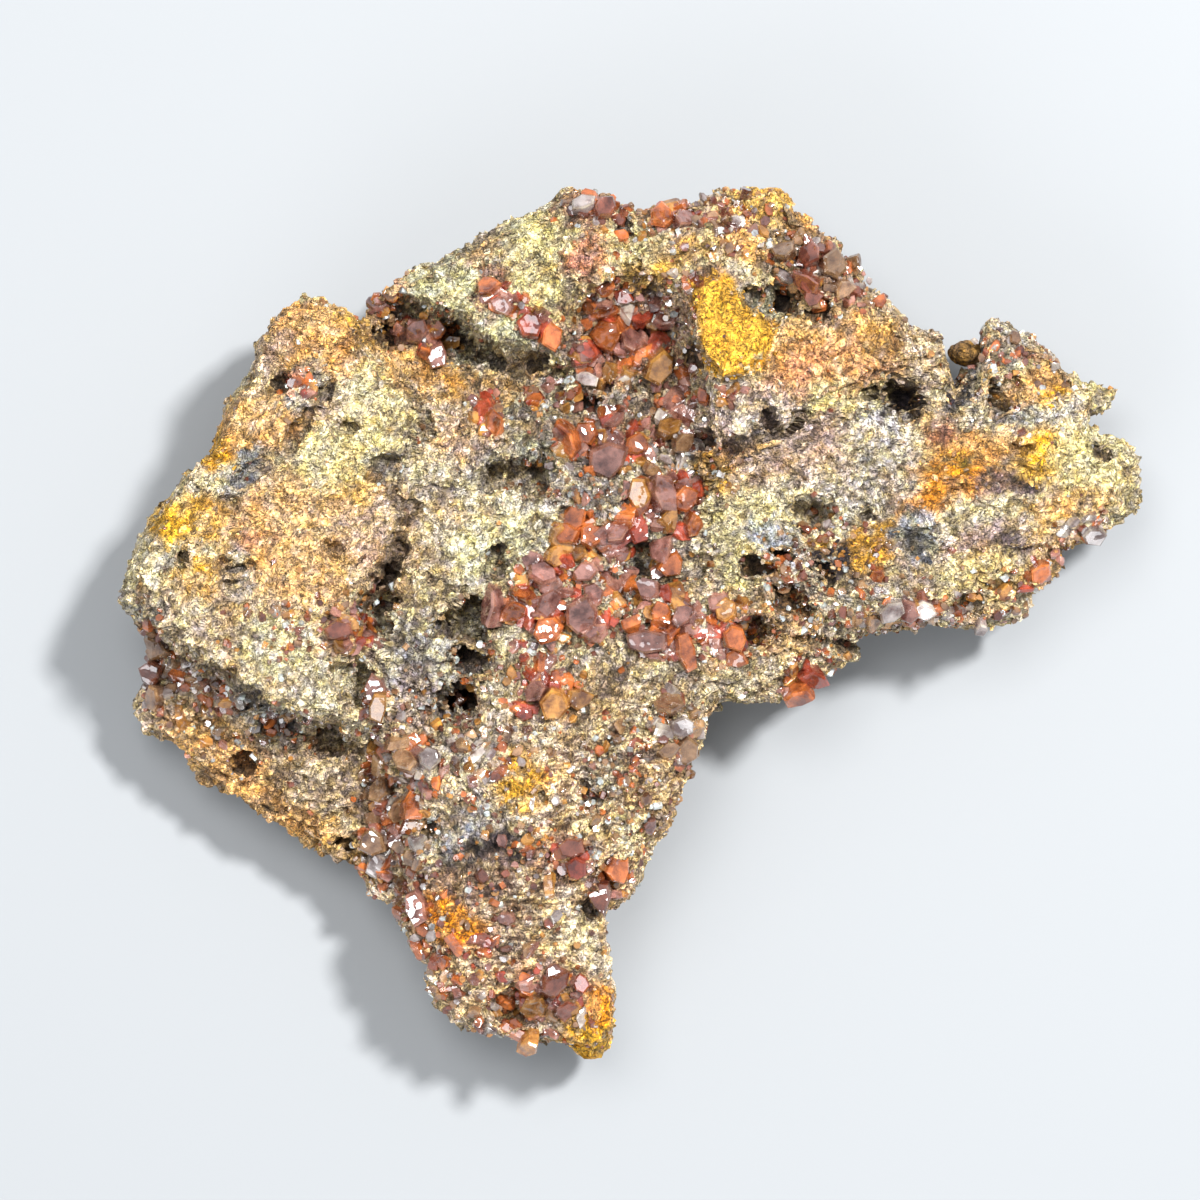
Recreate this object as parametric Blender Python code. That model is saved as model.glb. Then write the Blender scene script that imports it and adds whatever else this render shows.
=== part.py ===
"""Wulfenite on matrix: a weathered, iron-stained rock slab with clusters of small thick crystals on it.

The matrix is one lump of rock, cut flat underneath, where it rests. The crystals that grew together
are one solid a cluster, and each cluster sits a hair's breadth (CRYSTAL_GAP) clear of the rock that it
grew on. Metres, +Z up, with the resting face on z = 0.

The specimen is laid out on a plan sheet in millimetres, with a to the right and b down the sheet, and
SHEET_CENTRE is the point of the sheet that lies at the origin. Heights are millimetres over the
resting face.
"""

import math

import bmesh
import bpy
import numpy as np
from mathutils import Matrix, Vector
from mathutils.bvhtree import BVHTree

MM = 0.001
NAME = "wulfenite_on_matrix"
SHEET_CENTRE = (63.1, 62.2)

# ---- the matrix: its outline, seen from above, clockwise from the slab's north corner ----

HEART = np.array((56.0, 56.0))
OUTLINE = [
    (29.8, 28.6), (33.6, 29.9), (35.4, 31.4), (36.3, 28.8), (39.0, 27.6), (45.7, 24.4), (50.0, 21.8),
    (53.1, 21.1), (55.1, 19.8), (56.4, 18.5), (60.2, 19.2), (64.4, 20.2), (69.4, 19.3), (72.7, 18.3),
    (74.5, 18.5), (77.8, 17.4), (79.3, 18.5), (80.9, 20.6), (84.4, 24.2), (86.5, 25.4), (87.5, 27.5),
    (90.7, 30.6), (91.2, 32.0), (94.5, 32.5), (95.0, 34.6), (95.4, 36.8), (98.2, 36.4), (98.6, 33.6),
    (100.1, 31.2), (101.9, 32.0), (106.3, 33.9), (110.1, 37.2), (112.4, 38.5), (111.9, 40.3),
    (110.4, 41.8), (110.7, 43.3), (112.9, 44.1), (113.9, 46.4), (114.6, 51.0), (112.9, 52.5),
    (109.9, 54.2), (107.3, 54.9), (107.8, 56.6), (105.5, 58.6), (103.7, 59.7), (103.2, 61.2),
    (101.7, 62.2), (98.6, 63.2), (94.6, 62.4), (91.0, 63.6), (87.0, 63.6), (86.4, 66.0),
    (83.7, 67.2), (80.6, 70.0), (78.2, 70.6), (72.9, 70.8), (71.6, 72.8), (70.6, 76.1), (68.0, 81.8),
    (66.8, 84.0), (64.9, 85.4), (64.4, 87.4), (62.8, 90.6), (60.9, 92.2), (60.7, 95.2), (61.1, 98.3),
    (61.6, 101.9), (61.4, 105.4), (59.1, 107.0), (57.0, 106.3), (53.2, 105.4), (50.3, 105.4),
    (47.5, 104.6), (45.8, 104.2), (43.6, 101.9), (42.3, 99.6), (42.1, 97.5), (40.6, 96.2),
    (39.1, 93.9), (38.7, 92.2), (36.0, 91.4), (34.5, 88.0), (31.0, 86.0), (27.9, 84.3), (24.3, 83.0),
    (22.8, 81.7), (18.7, 78.6), (16.6, 75.3), (13.3, 73.8), (12.2, 70.5), (13.6, 65.4), (12.3, 62.6),
    (11.5, 59.3), (13.6, 53.5), (15.6, 50.4), (17.3, 47.0), (20.2, 44.6), (22.2, 40.2), (24.3, 36.9),
    (25.0, 33.9), (26.3, 31.3),
]
# The middle of the rock follows the outline with its wiggles smoothed away: how many waves of it are
# kept, in how many steps it is measured, and how far out the real outline begins to show.
WAVES_KEPT = 6.0
OUTLINE_STEPS = 1440
WIGGLES_FROM = 0.4

# Rock faces that stand at a level of their own: the level, how it rises to the right and down the
# sheet, how softly the edge falls, and the corners.
GROUND = 22.0
PLATES = {
    "south_west_shelf": (14.5, 0.06, -0.10, 1.6, [
        (8.0, 61.0), (15.5, 62.5), (20.0, 67.0), (25.5, 71.6), (33.0, 73.0), (37.0, 73.5), (41.0, 80.0),
        (41.0, 92.0), (30.0, 94.0), (10.0, 80.0)]),
    "west_slab": (26.5, -0.03, -0.02, 1.1, [
        (28.0, 24.0), (34.0, 29.5), (36.8, 32.8), (36.6, 35.6), (40.4, 38.8), (43.0, 43.0),
        (40.3, 47.5), (41.0, 51.5), (38.5, 57.0), (36.6, 60.0), (36.4, 65.0), (34.4, 71.4),
        (30.0, 72.2), (25.5, 70.8), (20.5, 67.0), (16.0, 62.6), (6.0, 60.0), (10.0, 46.0), (22.0, 30.0)]),
    "orange_saddle": (18.5, 0.0, 0.0, 1.4, [
        (37.4, 30.5), (45.0, 31.5), (50.0, 35.5), (56.5, 37.2), (56.0, 40.2), (49.5, 40.4),
        (44.5, 40.6), (41.3, 38.4), (37.6, 34.5)]),
    "north_ledge": (25.5, -0.02, -0.05, 1.0, [
        (39.0, 29.8), (38.0, 22.0), (52.0, 15.0), (63.0, 17.0), (62.0, 24.0), (61.5, 28.5), (58.4, 31.0),
        (57.6, 34.6), (52.0, 35.4), (47.6, 33.6), (44.6, 30.6)]),
    "north_east_block": (25.5, -0.02, -0.04, 1.0, [
        (62.5, 16.0), (78.0, 14.0), (94.0, 28.0), (91.5, 36.0), (86.0, 39.0), (80.0, 41.2), (74.0, 45.6),
        (70.6, 43.2), (70.0, 38.0), (68.6, 34.0), (67.4, 29.2), (63.0, 27.8)]),
    "yellow_plate": (28.0, 0.02, 0.06, 0.6, [
        (68.9, 28.6), (73.0, 28.1), (74.5, 30.3), (77.3, 32.8), (76.3, 35.4), (74.2, 37.9), (72.4, 38.2),
        (69.9, 35.8), (69.6, 32.6)]),
    "vein_floor": (19.5, 0.0, 0.05, 1.6, [
        (57.0, 37.0), (59.0, 30.0), (66.0, 29.8), (69.0, 36.0), (70.0, 44.0), (70.6, 51.0), (70.0, 57.5),
        (64.0, 60.5), (60.6, 55.0), (62.4, 50.0), (59.6, 46.5), (57.0, 42.0)]),
    "east_lobe": (20.5, -0.08, -0.06, 2.4, [
        (92.0, 28.0), (120.0, 34.0), (120.0, 56.0), (100.0, 68.0), (92.5, 66.0), (91.0, 50.0)]),
    "south_lobe": (19.5, 0.02, -0.12, 2.2, [
        (41.0, 83.0), (47.0, 80.5), (55.0, 83.0), (66.0, 80.0), (66.0, 112.0), (38.0, 112.0)]),
}
# Rounded lumps on the rock: where each is, its half length, half width, turn and height.
LUMPS = [
    (26.5, 42.0, 6.5, 4.0, 20, 1.2), (21.0, 57.5, 4.0, 3.2, -30, 1.0), (31.0, 33.0, 5.0, 4.0, 0, 1.0),
    (33.5, 68.0, 3.0, 3.0, 0, 0.9), (45.0, 45.5, 5.0, 4.0, 30, 1.6), (42.0, 64.5, 3.6, 5.0, 0, 1.4),
    (52.0, 43.0, 4.0, 4.4, 10, 2.2), (59.5, 49.0, 3.4, 3.0, 0, 2.4), (75.0, 43.4, 3.8, 3.4, 20, 0.8),
    (84.0, 47.0, 8.0, 6.0, -10, 2.0), (83.0, 40.6, 6.0, 2.0, 12, 1.0), (88.5, 60.0, 7.0, 3.0, 10, 1.2),
    (50.0, 76.0, 6.0, 5.0, 0, 1.6), (65.0, 78.0, 3.6, 6.0, -25, 1.4), (59.0, 104.0, 3.4, 3.4, 0, 1.8),
    (30.5, 79.0, 5.0, 4.0, 0, 2.6), (18.0, 75.0, 3.0, 2.6, 0, 1.6), (46.0, 92.0, 3.0, 6.0, -35, 1.4),
    (95.0, 47.5, 5.0, 3.0, -10, 1.2), (108.5, 47.0, 5.0, 5.0, 0, 1.0), (77.0, 63.0, 4.0, 3.0, 0, 1.4),
]
# Pits and gullies in it: where each is, its half length, half width, turn and depth.
PITS = [
    (57.8, 39.6, 1.9, 1.7, 0, 5.0), (64.0, 56.4, 2.8, 1.8, 65, 5.0), (46.8, 62.8, 2.6, 2.2, 10, 8.0),
    (37.9, 61.0, 3.6, 1.6, 80, 8.0), (35.6, 67.6, 2.8, 1.6, 80, 7.0), (52.0, 47.5, 3.2, 1.4, -10, 5.0),
    (90.7, 39.6, 2.0, 1.8, -65, 7.0), (81.2, 51.6, 2.1, 1.7, 40, 6.0), (77.6, 30.4, 2.2, 1.9, 75, 4.5),
    (76.0, 63.2, 1.9, 1.6, 0, 4.0), (45.4, 33.4, 2.2, 1.7, -45, 5.0), (27.2, 72.4, 2.2, 1.6, 0, 4.0),
    (33.0, 73.8, 2.2, 1.9, 40, 5.0), (44.5, 70.6, 2.6, 1.6, 40, 6.0), (51.4, 101.6, 2.0, 1.8, 0, 5.0),
    (99.8, 39.4, 2.0, 1.5, 50, 3.0), (41.6, 88.2, 2.2, 1.5, 80, 4.0), (68.4, 37.8, 1.8, 1.8, 0, 3.0),
]
ROUGHNESS = [(13.0, 1.5), (6.5, 0.8)]  # wavelength and height of the rock's own unevenness

TOP_CELLS = 34    # cells across the top face of the cube that the rock is shaped from
SIDE_CELLS = 4    # and down its sides
RIM = 0.965       # the rim's share of the rock's widest outline
RIM_DROP = 0.12   # how much of its height the top loses at the rim
RIM_FROM = 0.86   # and how far out that starts
ON_RIM = 0.999    # a point farther out than this lies on the rim or on a side
WAIST_AT = 0.30   # how far down the sides the rock is widest
FOOT = 0.70       # the resting face's share of the widest outline
TAPER = 2.6       # how late the sides curve in to it
SIDE_ROUGHNESS = 0.035
SIDE_KNOB = 6.0
SIDE_KNOB_RUN = 30.0

# The brown lump that bridges the notch in the north-east edge: its place, height and half sizes.
BRIDGE_AT = (97.0, 35.2)
BRIDGE_HEIGHT = 15.0
BRIDGE_SIZE = (2.2, 1.7, 2.6)

# ---- the crystals ----

CRYSTAL_GAP = 0.4
BEVEL = 0.22
CRYSTAL_SIDES = 6
THICKNESS = 1.15  # of a crystal's width
STAND = 0.22      # of its thickness, how far its middle stands over the rock
RIM_LEVEL = 16.0  # where a crystal that hangs over the rim looks for the rock
CRUST_THICKNESS = 2.4
CRUST_SINK = 0.25
# Each cluster: the crust that its crystals share, if they need one to hold together (place, half
# length, half width, turn), and its crystals (place, length, width, turn of the long side, lean, and
# the bearing that it leans to).
CLUSTERS = {
    "north_vein_crystals": ((62.2, 33.8, 5.2, 3.2, 10), [
        (58.5, 35.2, 3.5, 2.8, 90, 15, 180), (60.6, 33.6, 3.6, 3.2, 20, 10, 90),
        (62.9, 33.9, 3.0, 2.6, 70, 20, 45), (66.0, 36.2, 3.8, 3.0, 60, 18, 300),
        (64.2, 31.4, 3.2, 2.6, 0, 12, 100), (60.4, 30.9, 3.4, 2.6, 15, 16, 120),
        (66.6, 31.6, 3.0, 2.2, 40, 15, 60)]),
    "cavern_crystal": (None, [(58.6, 37.6, 2.5, 1.7, -15, 8, 270)]),
    "middle_vein_crystals": ((60.6, 44.4, 4.4, 2.4, -20), [
        (56.8, 43.9, 4.6, 2.7, -52, 20, 200), (61.2, 42.2, 3.0, 2.0, 10, 22, 90),
        (61.0, 45.6, 4.2, 3.8, 0, 10, 260), (63.6, 44.4, 2.8, 2.4, 60, 14, 20),
        (58.6, 43.4, 3.0, 2.8, 30, 10, 150)]),
    "east_vein_crystals": (None, [(68.4, 44.0, 2.8, 2.4, 20, 15, 330), (66.9, 42.7, 2.8, 2.4, 50, 18, 60)]),
    "window_crystals": ((67.2, 50.4, 3.0, 2.0, -20), [
        (64.2, 49.6, 4.0, 2.5, 90, 12, 185), (66.2, 49.4, 4.4, 3.0, 90, 25, 20),
        (68.3, 50.0, 3.1, 2.9, 10, 14, 0), (69.4, 52.4, 3.0, 2.0, 85, 16, 330)]),
    "saddle_crystals_north": ((59.2, 55.2, 3.2, 2.6, -15), [
        (61.8, 53.3, 3.3, 2.9, 30, 15, 120), (56.6, 53.4, 3.2, 2.4, -20, 18, 150),
        (58.8, 57.0, 3.2, 2.4, 25, 15, 200), (59.2, 53.6, 2.8, 2.4, 60, 12, 90)]),
    "pentagon_crystals": (None, [(66.2, 54.5, 3.4, 3.2, 20, 14, 240), (67.0, 56.2, 3.8, 2.6, 42, 15, 300)]),
    "saddle_plate": (None, [(49.4, 60.4, 5.0, 2.6, 86, 35, 190), (51.1, 61.2, 3.2, 2.6, 10, 15, 330)]),
    "saddle_crystals_west": ((57.0, 62.4, 3.6, 2.6, -10), [
        (58.3, 61.5, 5.0, 4.2, 50, 8, 250), (55.0, 63.0, 3.4, 2.8, 40, 12, 200),
        (59.6, 63.2, 3.2, 2.8, 20, 10, 310)]),
    "orange_egg_crystals": (None, [
        (55.6, 70.2, 3.8, 3.1, 80, 15, 260), (53.8, 69.0, 2.8, 2.4, 30, 20, 170),
        (57.8, 69.8, 3.0, 2.4, -10, 18, 340)]),
    "saddle_crystals_east": ((67.4, 64.0, 3.4, 2.4, 0), [
        (64.8, 64.2, 4.4, 2.9, 0, 14, 190), (66.2, 61.4, 2.8, 2.2, 20, 18, 110),
        (68.2, 61.7, 3.0, 2.0, 48, 20, 60), (68.6, 65.2, 4.3, 2.2, -72, 16, 340)]),
    "bright_red_crystals": (None, [
        (73.6, 63.5, 2.8, 3.0, 20, 10, 280), (72.8, 61.4, 2.8, 2.4, 60, 20, 130),
        (73.8, 65.6, 2.6, 2.4, 10, 18, 260)]),
    "south_rim_crystals": (None, [
        (81.4, 67.7, 3.2, 3.0, 20, 30, 300), (79.8, 69.4, 3.6, 2.6, 40, 35, 280)]),
    "north_ridge_crystals": ((52.0, 31.2, 4.0, 1.5, -38), [
        (48.9, 28.6, 2.6, 2.4, 30, 15, 140), (50.4, 30.4, 2.8, 2.2, -40, 16, 200),
        (53.0, 32.6, 3.0, 2.4, -35, 12, 60), (55.0, 33.6, 3.0, 2.4, -60, 16, 330)]),
    "hollow_crystals": (None, [
        (41.4, 33.0, 2.8, 2.6, 20, 10, 90), (43.2, 33.0, 2.8, 2.6, -20, 12, 60),
        (43.4, 35.0, 2.8, 2.4, 40, 18, 300)]),
    "top_rim_druse": (None, [(58.5, 20.6, 2.8, 2.4, 10, 20, 110), (60.4, 21.0, 3.0, 2.6, 30, 18, 60)]),
    "ridge_top_druse": (None, [(66.4, 21.8, 2.6, 2.4, 0, 18, 120), (68.4, 22.0, 2.8, 2.4, 30, 16, 60)]),
    "north_east_druse": ((81.6, 26.8, 4.2, 2.2, -20), [
        (78.4, 25.2, 2.8, 2.4, 20, 15, 130), (80.8, 25.6, 3.0, 2.6, 50, 12, 90),
        (83.4, 26.6, 3.2, 2.8, 10, 16, 40), (80.6, 28.2, 3.4, 2.6, -20, 14, 240),
        (84.2, 28.8, 2.8, 2.4, 30, 18, 320)]),
    "west_shelf_druse": (None, [
        (14.9, 65.4, 3.0, 2.4, -30, 20, 150), (14.6, 67.6, 3.0, 2.4, 60, 18, 180),
        (14.8, 69.9, 3.0, 2.4, 80, 25, 200)]),
    "gully_crystals": (None, [(37.7, 68.9, 3.2, 2.2, 85, 16, 180), (37.7, 70.5, 3.4, 2.4, 80, 16, 270)]),
    "south_west_druse": (None, [
        (39.8, 81.0, 3.2, 2.8, 40, 15, 250), (41.2, 80.7, 3.4, 3.0, 80, 12, 20),
        (37.8, 79.4, 3.2, 2.8, 70, 20, 160)]),
    "upper_south_west_druse": (None, [
        (40.5, 76.2, 3.2, 2.4, -40, 18, 120), (42.6, 76.0, 2.8, 2.6, 10, 15, 60)]),
    "lower_south_west_druse": (None, [
        (37.2, 84.4, 3.4, 2.8, -60, 18, 200), (37.4, 86.8, 3.0, 2.4, 60, 16, 220)]),
    "barrel_crystal": (None, [(41.6, 90.6, 4.0, 2.8, -65, 20, 230)]),
    "east_slope_druse": (None, [
        (67.0, 70.6, 3.0, 2.6, 20, 15, 120), (68.0, 72.8, 3.0, 2.6, 60, 18, 0),
        (68.4, 75.0, 3.0, 2.4, 60, 25, 320)]),
    "dark_red_crystals": (None, [
        (57.2, 84.9, 2.8, 2.6, 10, 12, 200), (57.6, 86.9, 2.6, 2.2, 70, 15, 280)]),
    "south_edge_crystals": (None, [(60.2, 89.4, 3.8, 2.6, 80, 20, 250), (61.5, 87.1, 3.4, 2.6, 20, 25, 330)]),
    "brown_bead_crystal": (None, [(64.9, 82.6, 2.2, 1.8, 80, 15, 300)]),
    "south_pocket_crystals": (None, [
        (55.4, 98.7, 4.0, 3.2, 60, 16, 60), (53.5, 101.0, 3.8, 2.5, 35, 18, 240),
        (56.4, 101.3, 3.0, 2.4, 0, 14, 320)]),
    "south_rim_prism": (None, [(52.7, 104.8, 3.2, 2.0, 62, 40, 265)]),
    "red_hollow_crystals": (None, [
        (48.4, 40.7, 2.8, 2.6, 30, 14, 180), (49.2, 42.2, 3.0, 2.2, -65, 20, 340)]),
    "slab_edge_crystal": (None, [(33.9, 63.3, 3.2, 2.4, 10, 10, 90)]),
    "orange_east_crystal": (None, [(104.4, 57.0, 2.6, 2.2, 70, 18, 280)]),
    "east_lobe_bead": (None, [(87.9, 57.5, 1.9, 1.7, 30, 15, 250)]),
    "east_rim_crystals": (None, [
        (89.2, 61.1, 2.8, 2.4, 20, 14, 270), (90.9, 61.0, 2.8, 2.6, 80, 14, 270),
        (92.6, 60.9, 3.0, 2.4, 10, 15, 280)]),
    "east_rim_prism": (None, [(98.5, 62.6, 2.2, 1.6, 80, 38, 275)]),
    "east_tip_crystals": (None, [(109.6, 53.2, 3.0, 2.2, 35, 25, 290)]),
}
BRIGHT = (0.60, 0.12, 0.02, 1.0)
ROCK = (0.52, 0.40, 0.22, 1.0)


# ---- shape of the rock ----

def smooth_step(value):
    """0 below 0, 1 above 1, and the smooth curve 3v^2 - 2v^3 between."""
    value = np.clip(value, 0.0, 1.0)
    return value * value * (3.0 - 2.0 * value)


def lattice(column, row, seed):
    """A repeatable number from 0 to 1 for each cell corner of an endless grid."""
    wave = np.sin(column * 127.1 + row * 311.7 + seed * 74.7) * 43758.5453
    return wave - np.floor(wave)


def value_noise(a, b, wavelength, seed):
    """Smoothly blended lattice numbers, from -1 to 1."""
    column, row = np.floor(a / wavelength), np.floor(b / wavelength)
    across = smooth_step(a / wavelength - column)
    down = smooth_step(b / wavelength - row)
    upper = lattice(column, row, seed) * (1 - across) + lattice(column + 1, row, seed) * across
    lower = lattice(column, row + 1, seed) * (1 - across) + lattice(column + 1, row + 1, seed) * across
    return 2.0 * (upper * (1 - down) + lower * down) - 1.0


def depth_inside(a, b, corners):
    """Distance from each place to the edge of a polygon: over 0 inside it, and below 0 outside."""
    nearest = np.full(a.shape, np.inf)
    inside = np.zeros(a.shape, bool)
    for (a1, b1), (a2, b2) in zip(corners, corners[1:] + corners[:1]):
        right, down = a2 - a1, b2 - b1
        run = np.clip(((a - a1) * right + (b - b1) * down) / (right ** 2 + down ** 2), 0, 1)
        nearest = np.minimum(nearest, np.hypot(a - a1 - run * right, b - b1 - run * down))
        if down:
            inside ^= ((b1 > b) != (b2 > b)) & (a < right * (b - b1) / down + a1)
    return np.where(inside, nearest, -nearest)


def oval(a, b, at_a, at_b, half_length, half_width, turn):
    """How far out each place is from an oval's centre: 0 there and 1 on its edge."""
    along = math.radians(turn)
    right, down = a - at_a, b - at_b
    length = right * math.cos(along) - down * math.sin(along)
    width = right * math.sin(along) + down * math.cos(along)
    return np.hypot(length / half_length, width / half_width)


def rock_height(a, b):
    """Height of the rock's top over the resting face, at sheet places a and b."""
    height = np.full(a.shape, GROUND)
    for level, rise_right, rise_down, soft, corners in PLATES.values():
        middle = np.mean(corners, axis=0)
        face = level + rise_right * (a - middle[0]) + rise_down * (b - middle[1])
        share = smooth_step(0.5 + depth_inside(a, b, corners) / (2 * soft))
        height = height * (1 - share) + face * share
    for seed, (wavelength, tall) in enumerate(ROUGHNESS):
        height = height + tall * value_noise(a, b, wavelength, seed)
    for *place, tall in LUMPS:
        height = height + tall * smooth_step(1.3 - oval(a, b, *place))
    for *place, deep in PITS:
        height = height - deep * smooth_step(1.6 - oval(a, b, *place))
    return height


def outline_lines(share):
    """The outline at each share of its whole length, from 0 to 1, and the same with its wiggles smoothed."""
    corners = np.array(OUTLINE + OUTLINE[:1]) @ (1, 1j)
    run = np.concatenate([[0.0], np.cumsum(np.abs(np.diff(corners)))])
    steps = np.arange(OUTLINE_STEPS) / OUTLINE_STEPS
    line = np.interp(steps, run / run[-1], corners)
    waves = np.fft.fftfreq(OUTLINE_STEPS, 1 / OUTLINE_STEPS)
    smooth = np.fft.ifft(np.fft.fft(line) * np.exp(-(waves / WAVES_KEPT) ** 2))
    found = [np.interp(share, steps, curve, period=1.0) for curve in (line, smooth)]
    return [np.stack([curve.real, curve.imag], axis=1) for curve in found]


def rock_points(u, v, w, grown):
    """Turns the points of a cube from -1 to 1 into the rock's: top face to top, sides to sides.

    The top is raised and the sides are moved out by `grown` millimetres.
    """
    ring = np.maximum(np.abs(u), np.abs(v))
    right, up = u / np.maximum(ring, 1e-9), v / np.maximum(ring, 1e-9)
    level = np.abs(u) < np.abs(v)
    side = np.where(v > 0, (right + 1) / 2, 2 + (1 - right) / 2)
    side = np.where(level, side, np.where(u > 0, 1 + (1 - up) / 2, 3 + (up + 1) / 2))
    line, smooth = outline_lines(side / 4 % 1.0)
    down = (1.0 - w) / 2.0
    bulge = RIM + (1 - RIM) * smooth_step(down / WAIST_AT)
    taper = 1 - (1 - FOOT) * np.clip((down - WAIST_AT) / (1 - WAIST_AT), 0, 1) ** TAPER
    knobs = value_noise(line[:, 0], line[:, 1] + SIDE_KNOB_RUN * down, SIDE_KNOB, 7)
    knobs = knobs * np.sin(math.pi * down) * SIDE_ROUGHNESS
    share = np.where(down > 0, np.minimum(bulge, taper) * (1 + knobs), RIM)[:, None]
    wiggles = smooth_step((ring - WIGGLES_FROM) / (1 - WIGGLES_FROM))[:, None]
    out = share * (ring[:, None] * (smooth - HEART) + wiggles * (line - smooth))
    seat = HEART + out
    drop = RIM_DROP * smooth_step((ring - RIM_FROM) / (1 - RIM_FROM))
    top = rock_height(seat[:, 0], seat[:, 1]) * (1 - drop)
    far = np.maximum(np.hypot(*out.T), 1e-9)[:, None]
    places = seat + out * np.where(ring > ON_RIM, grown, 0.0)[:, None] / far
    return np.stack([
        (places[:, 0] - SHEET_CENTRE[0]) * MM,
        (SHEET_CENTRE[1] - places[:, 1]) * MM,
        (top * (1 - down) + grown) * MM,
    ], axis=1)


# ---- objects ----

def clear_scene():
    for old in list(bpy.data.objects):
        bpy.data.objects.remove(old, do_unlink=True)


def new_collection(name, parent):
    collection = bpy.data.collections.new(name)
    parent.children.link(collection)
    return collection


def new_material(name, colour, roughness):
    material = bpy.data.materials.new(name)
    material.use_nodes = True
    shader = material.node_tree.nodes["Principled BSDF"]
    shader.inputs["Base Color"].default_value = colour
    shader.inputs["Roughness"].default_value = roughness
    shader.inputs["Metallic"].default_value = 0.0
    return material


def add_object(name, mesh, collection, material=None):
    obj = bpy.data.objects.new(name, mesh)
    collection.objects.link(obj)
    if material:
        obj.data.materials.append(material)
    return obj


def add_cutter(name, mesh, collection):
    obj = add_object(name, mesh, collection)
    obj.hide_render = True
    obj.display_type = "WIRE"
    return obj


def rock_mesh(name, grown):
    """A cube cut into cells and shaped into the rock, with one flat face underneath."""
    bm = bmesh.new()
    bmesh.ops.create_cube(bm, size=2.0)
    level = [edge for edge in bm.edges if abs(edge.verts[0].co.z - edge.verts[1].co.z) < 1.0]
    bmesh.ops.subdivide_edges(bm, edges=level, cuts=TOP_CELLS - 1, use_grid_fill=True)
    upright = [edge for edge in bm.edges if abs(edge.verts[0].co.z - edge.verts[1].co.z) > 1.0]
    bmesh.ops.subdivide_edges(bm, edges=upright, cuts=SIDE_CELLS - 1, use_grid_fill=True)
    under = [face for face in bm.faces if face.normal.z < -0.5]
    bmesh.ops.dissolve_faces(bm, faces=under, use_verts=False)
    cells = [face for face in bm.faces if len(face.verts) == 4]
    bmesh.ops.triangulate(bm, faces=cells, quad_method="FIXED")
    mesh = bpy.data.meshes.new(name)
    bm.to_mesh(mesh)
    bm.free()
    cube = np.empty(len(mesh.vertices) * 3)
    mesh.vertices.foreach_get("co", cube)
    cube = cube.reshape(-1, 3)
    mesh.vertices.foreach_set("co", rock_points(*cube.T, grown).ravel())
    mesh.update()
    return mesh


def bridge_mesh():
    """The lump in the notch: a coarse ball, stretched."""
    bm = bmesh.new()
    bmesh.ops.create_icosphere(bm, subdivisions=2, radius=MM)
    at = ((BRIDGE_AT[0] - SHEET_CENTRE[0]) * MM, (SHEET_CENTRE[1] - BRIDGE_AT[1]) * MM, BRIDGE_HEIGHT * MM)
    stance = Matrix.Translation(at) @ Matrix.Diagonal((*BRIDGE_SIZE, 1))
    bmesh.ops.transform(bm, matrix=stance, verts=bm.verts)
    mesh = bpy.data.meshes.new("bridge")
    bm.to_mesh(mesh)
    bm.free()
    return mesh


def build_matrix(parts, cutters):
    rock = add_object("matrix", rock_mesh("matrix", 0.0), parts, new_material("matrix_rock", ROCK, 0.9))
    bridge = rock.modifiers.new("Bridge the notch", "BOOLEAN")
    bridge.operation = "UNION"
    bridge.object = add_cutter("notch_bridge", bridge_mesh(), cutters)
    return rock


def add_prism(bm, half_length, half_width, thickness, bevel, stance):
    """A prism with its long side along X and a bevelled top face, placed by the stance matrix."""
    made = bmesh.ops.create_cone(
        bm, cap_ends=True, segments=CRYSTAL_SIDES, radius1=1.0, radius2=1.0, depth=1.0,
        matrix=Matrix.Rotation(math.pi / CRYSTAL_SIDES, 4, "Z"))["verts"]
    if bevel:
        faces = [face for vert in made for face in vert.link_faces]
        top = max(faces, key=lambda face: face.calc_center_median().z)
        bmesh.ops.inset_individual(bm, faces=[top], thickness=bevel / half_width, use_even_offset=True)
        shoulder = [vert for vert in made if vert.co.z > 0]
        bmesh.ops.translate(bm, verts=shoulder, vec=(0, 0, -bevel / thickness))
        made = list(set(made) | set(top.verts))
    size = Matrix.Diagonal((half_length * MM, half_width * MM, thickness * MM, 1))
    bmesh.ops.transform(bm, matrix=stance @ size, verts=made)


def stance_on_rock(rock_tree, a, b, turn, lean, bearing, stand):
    """Places a shape on the rock at sheet place a, b, its middle `stand` mm over the surface."""
    over = Vector(((a - SHEET_CENTRE[0]) * MM, (SHEET_CENTRE[1] - b) * MM, 2 * GROUND * MM))
    place = rock_tree.ray_cast(over, (0, 0, -1))[0]
    if place is None:
        place = rock_tree.find_nearest((over.x, over.y, RIM_LEVEL * MM))[0]
    move = Matrix.Translation(place + Vector((0, 0, stand * MM)))
    heading = Matrix.Rotation(math.radians(bearing), 4, "Z")
    tilt = heading @ Matrix.Rotation(math.radians(lean), 4, "Y") @ heading.inverted()
    return move @ tilt @ Matrix.Rotation(math.radians(turn), 4, "Z")


def cluster_mesh(name, rock_tree, crust, crystals):
    """The crystals of a cluster, in the crust that they share if they have one."""
    bm = bmesh.new()
    if crust:
        a, b, half_length, half_width, turn = crust
        stance = stance_on_rock(rock_tree, a, b, turn, 0, 0, -CRUST_SINK)
        add_prism(bm, half_length, half_width, CRUST_THICKNESS, 0, stance)
    for a, b, length, width, turn, lean, bearing in crystals:
        thickness = THICKNESS * width
        stance = stance_on_rock(rock_tree, a, b, turn, lean, bearing, STAND * thickness)
        add_prism(bm, length / 2, width / 2, thickness, BEVEL, stance)
    mesh = bpy.data.meshes.new(name)
    bm.to_mesh(mesh)
    bm.free()
    return mesh


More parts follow.
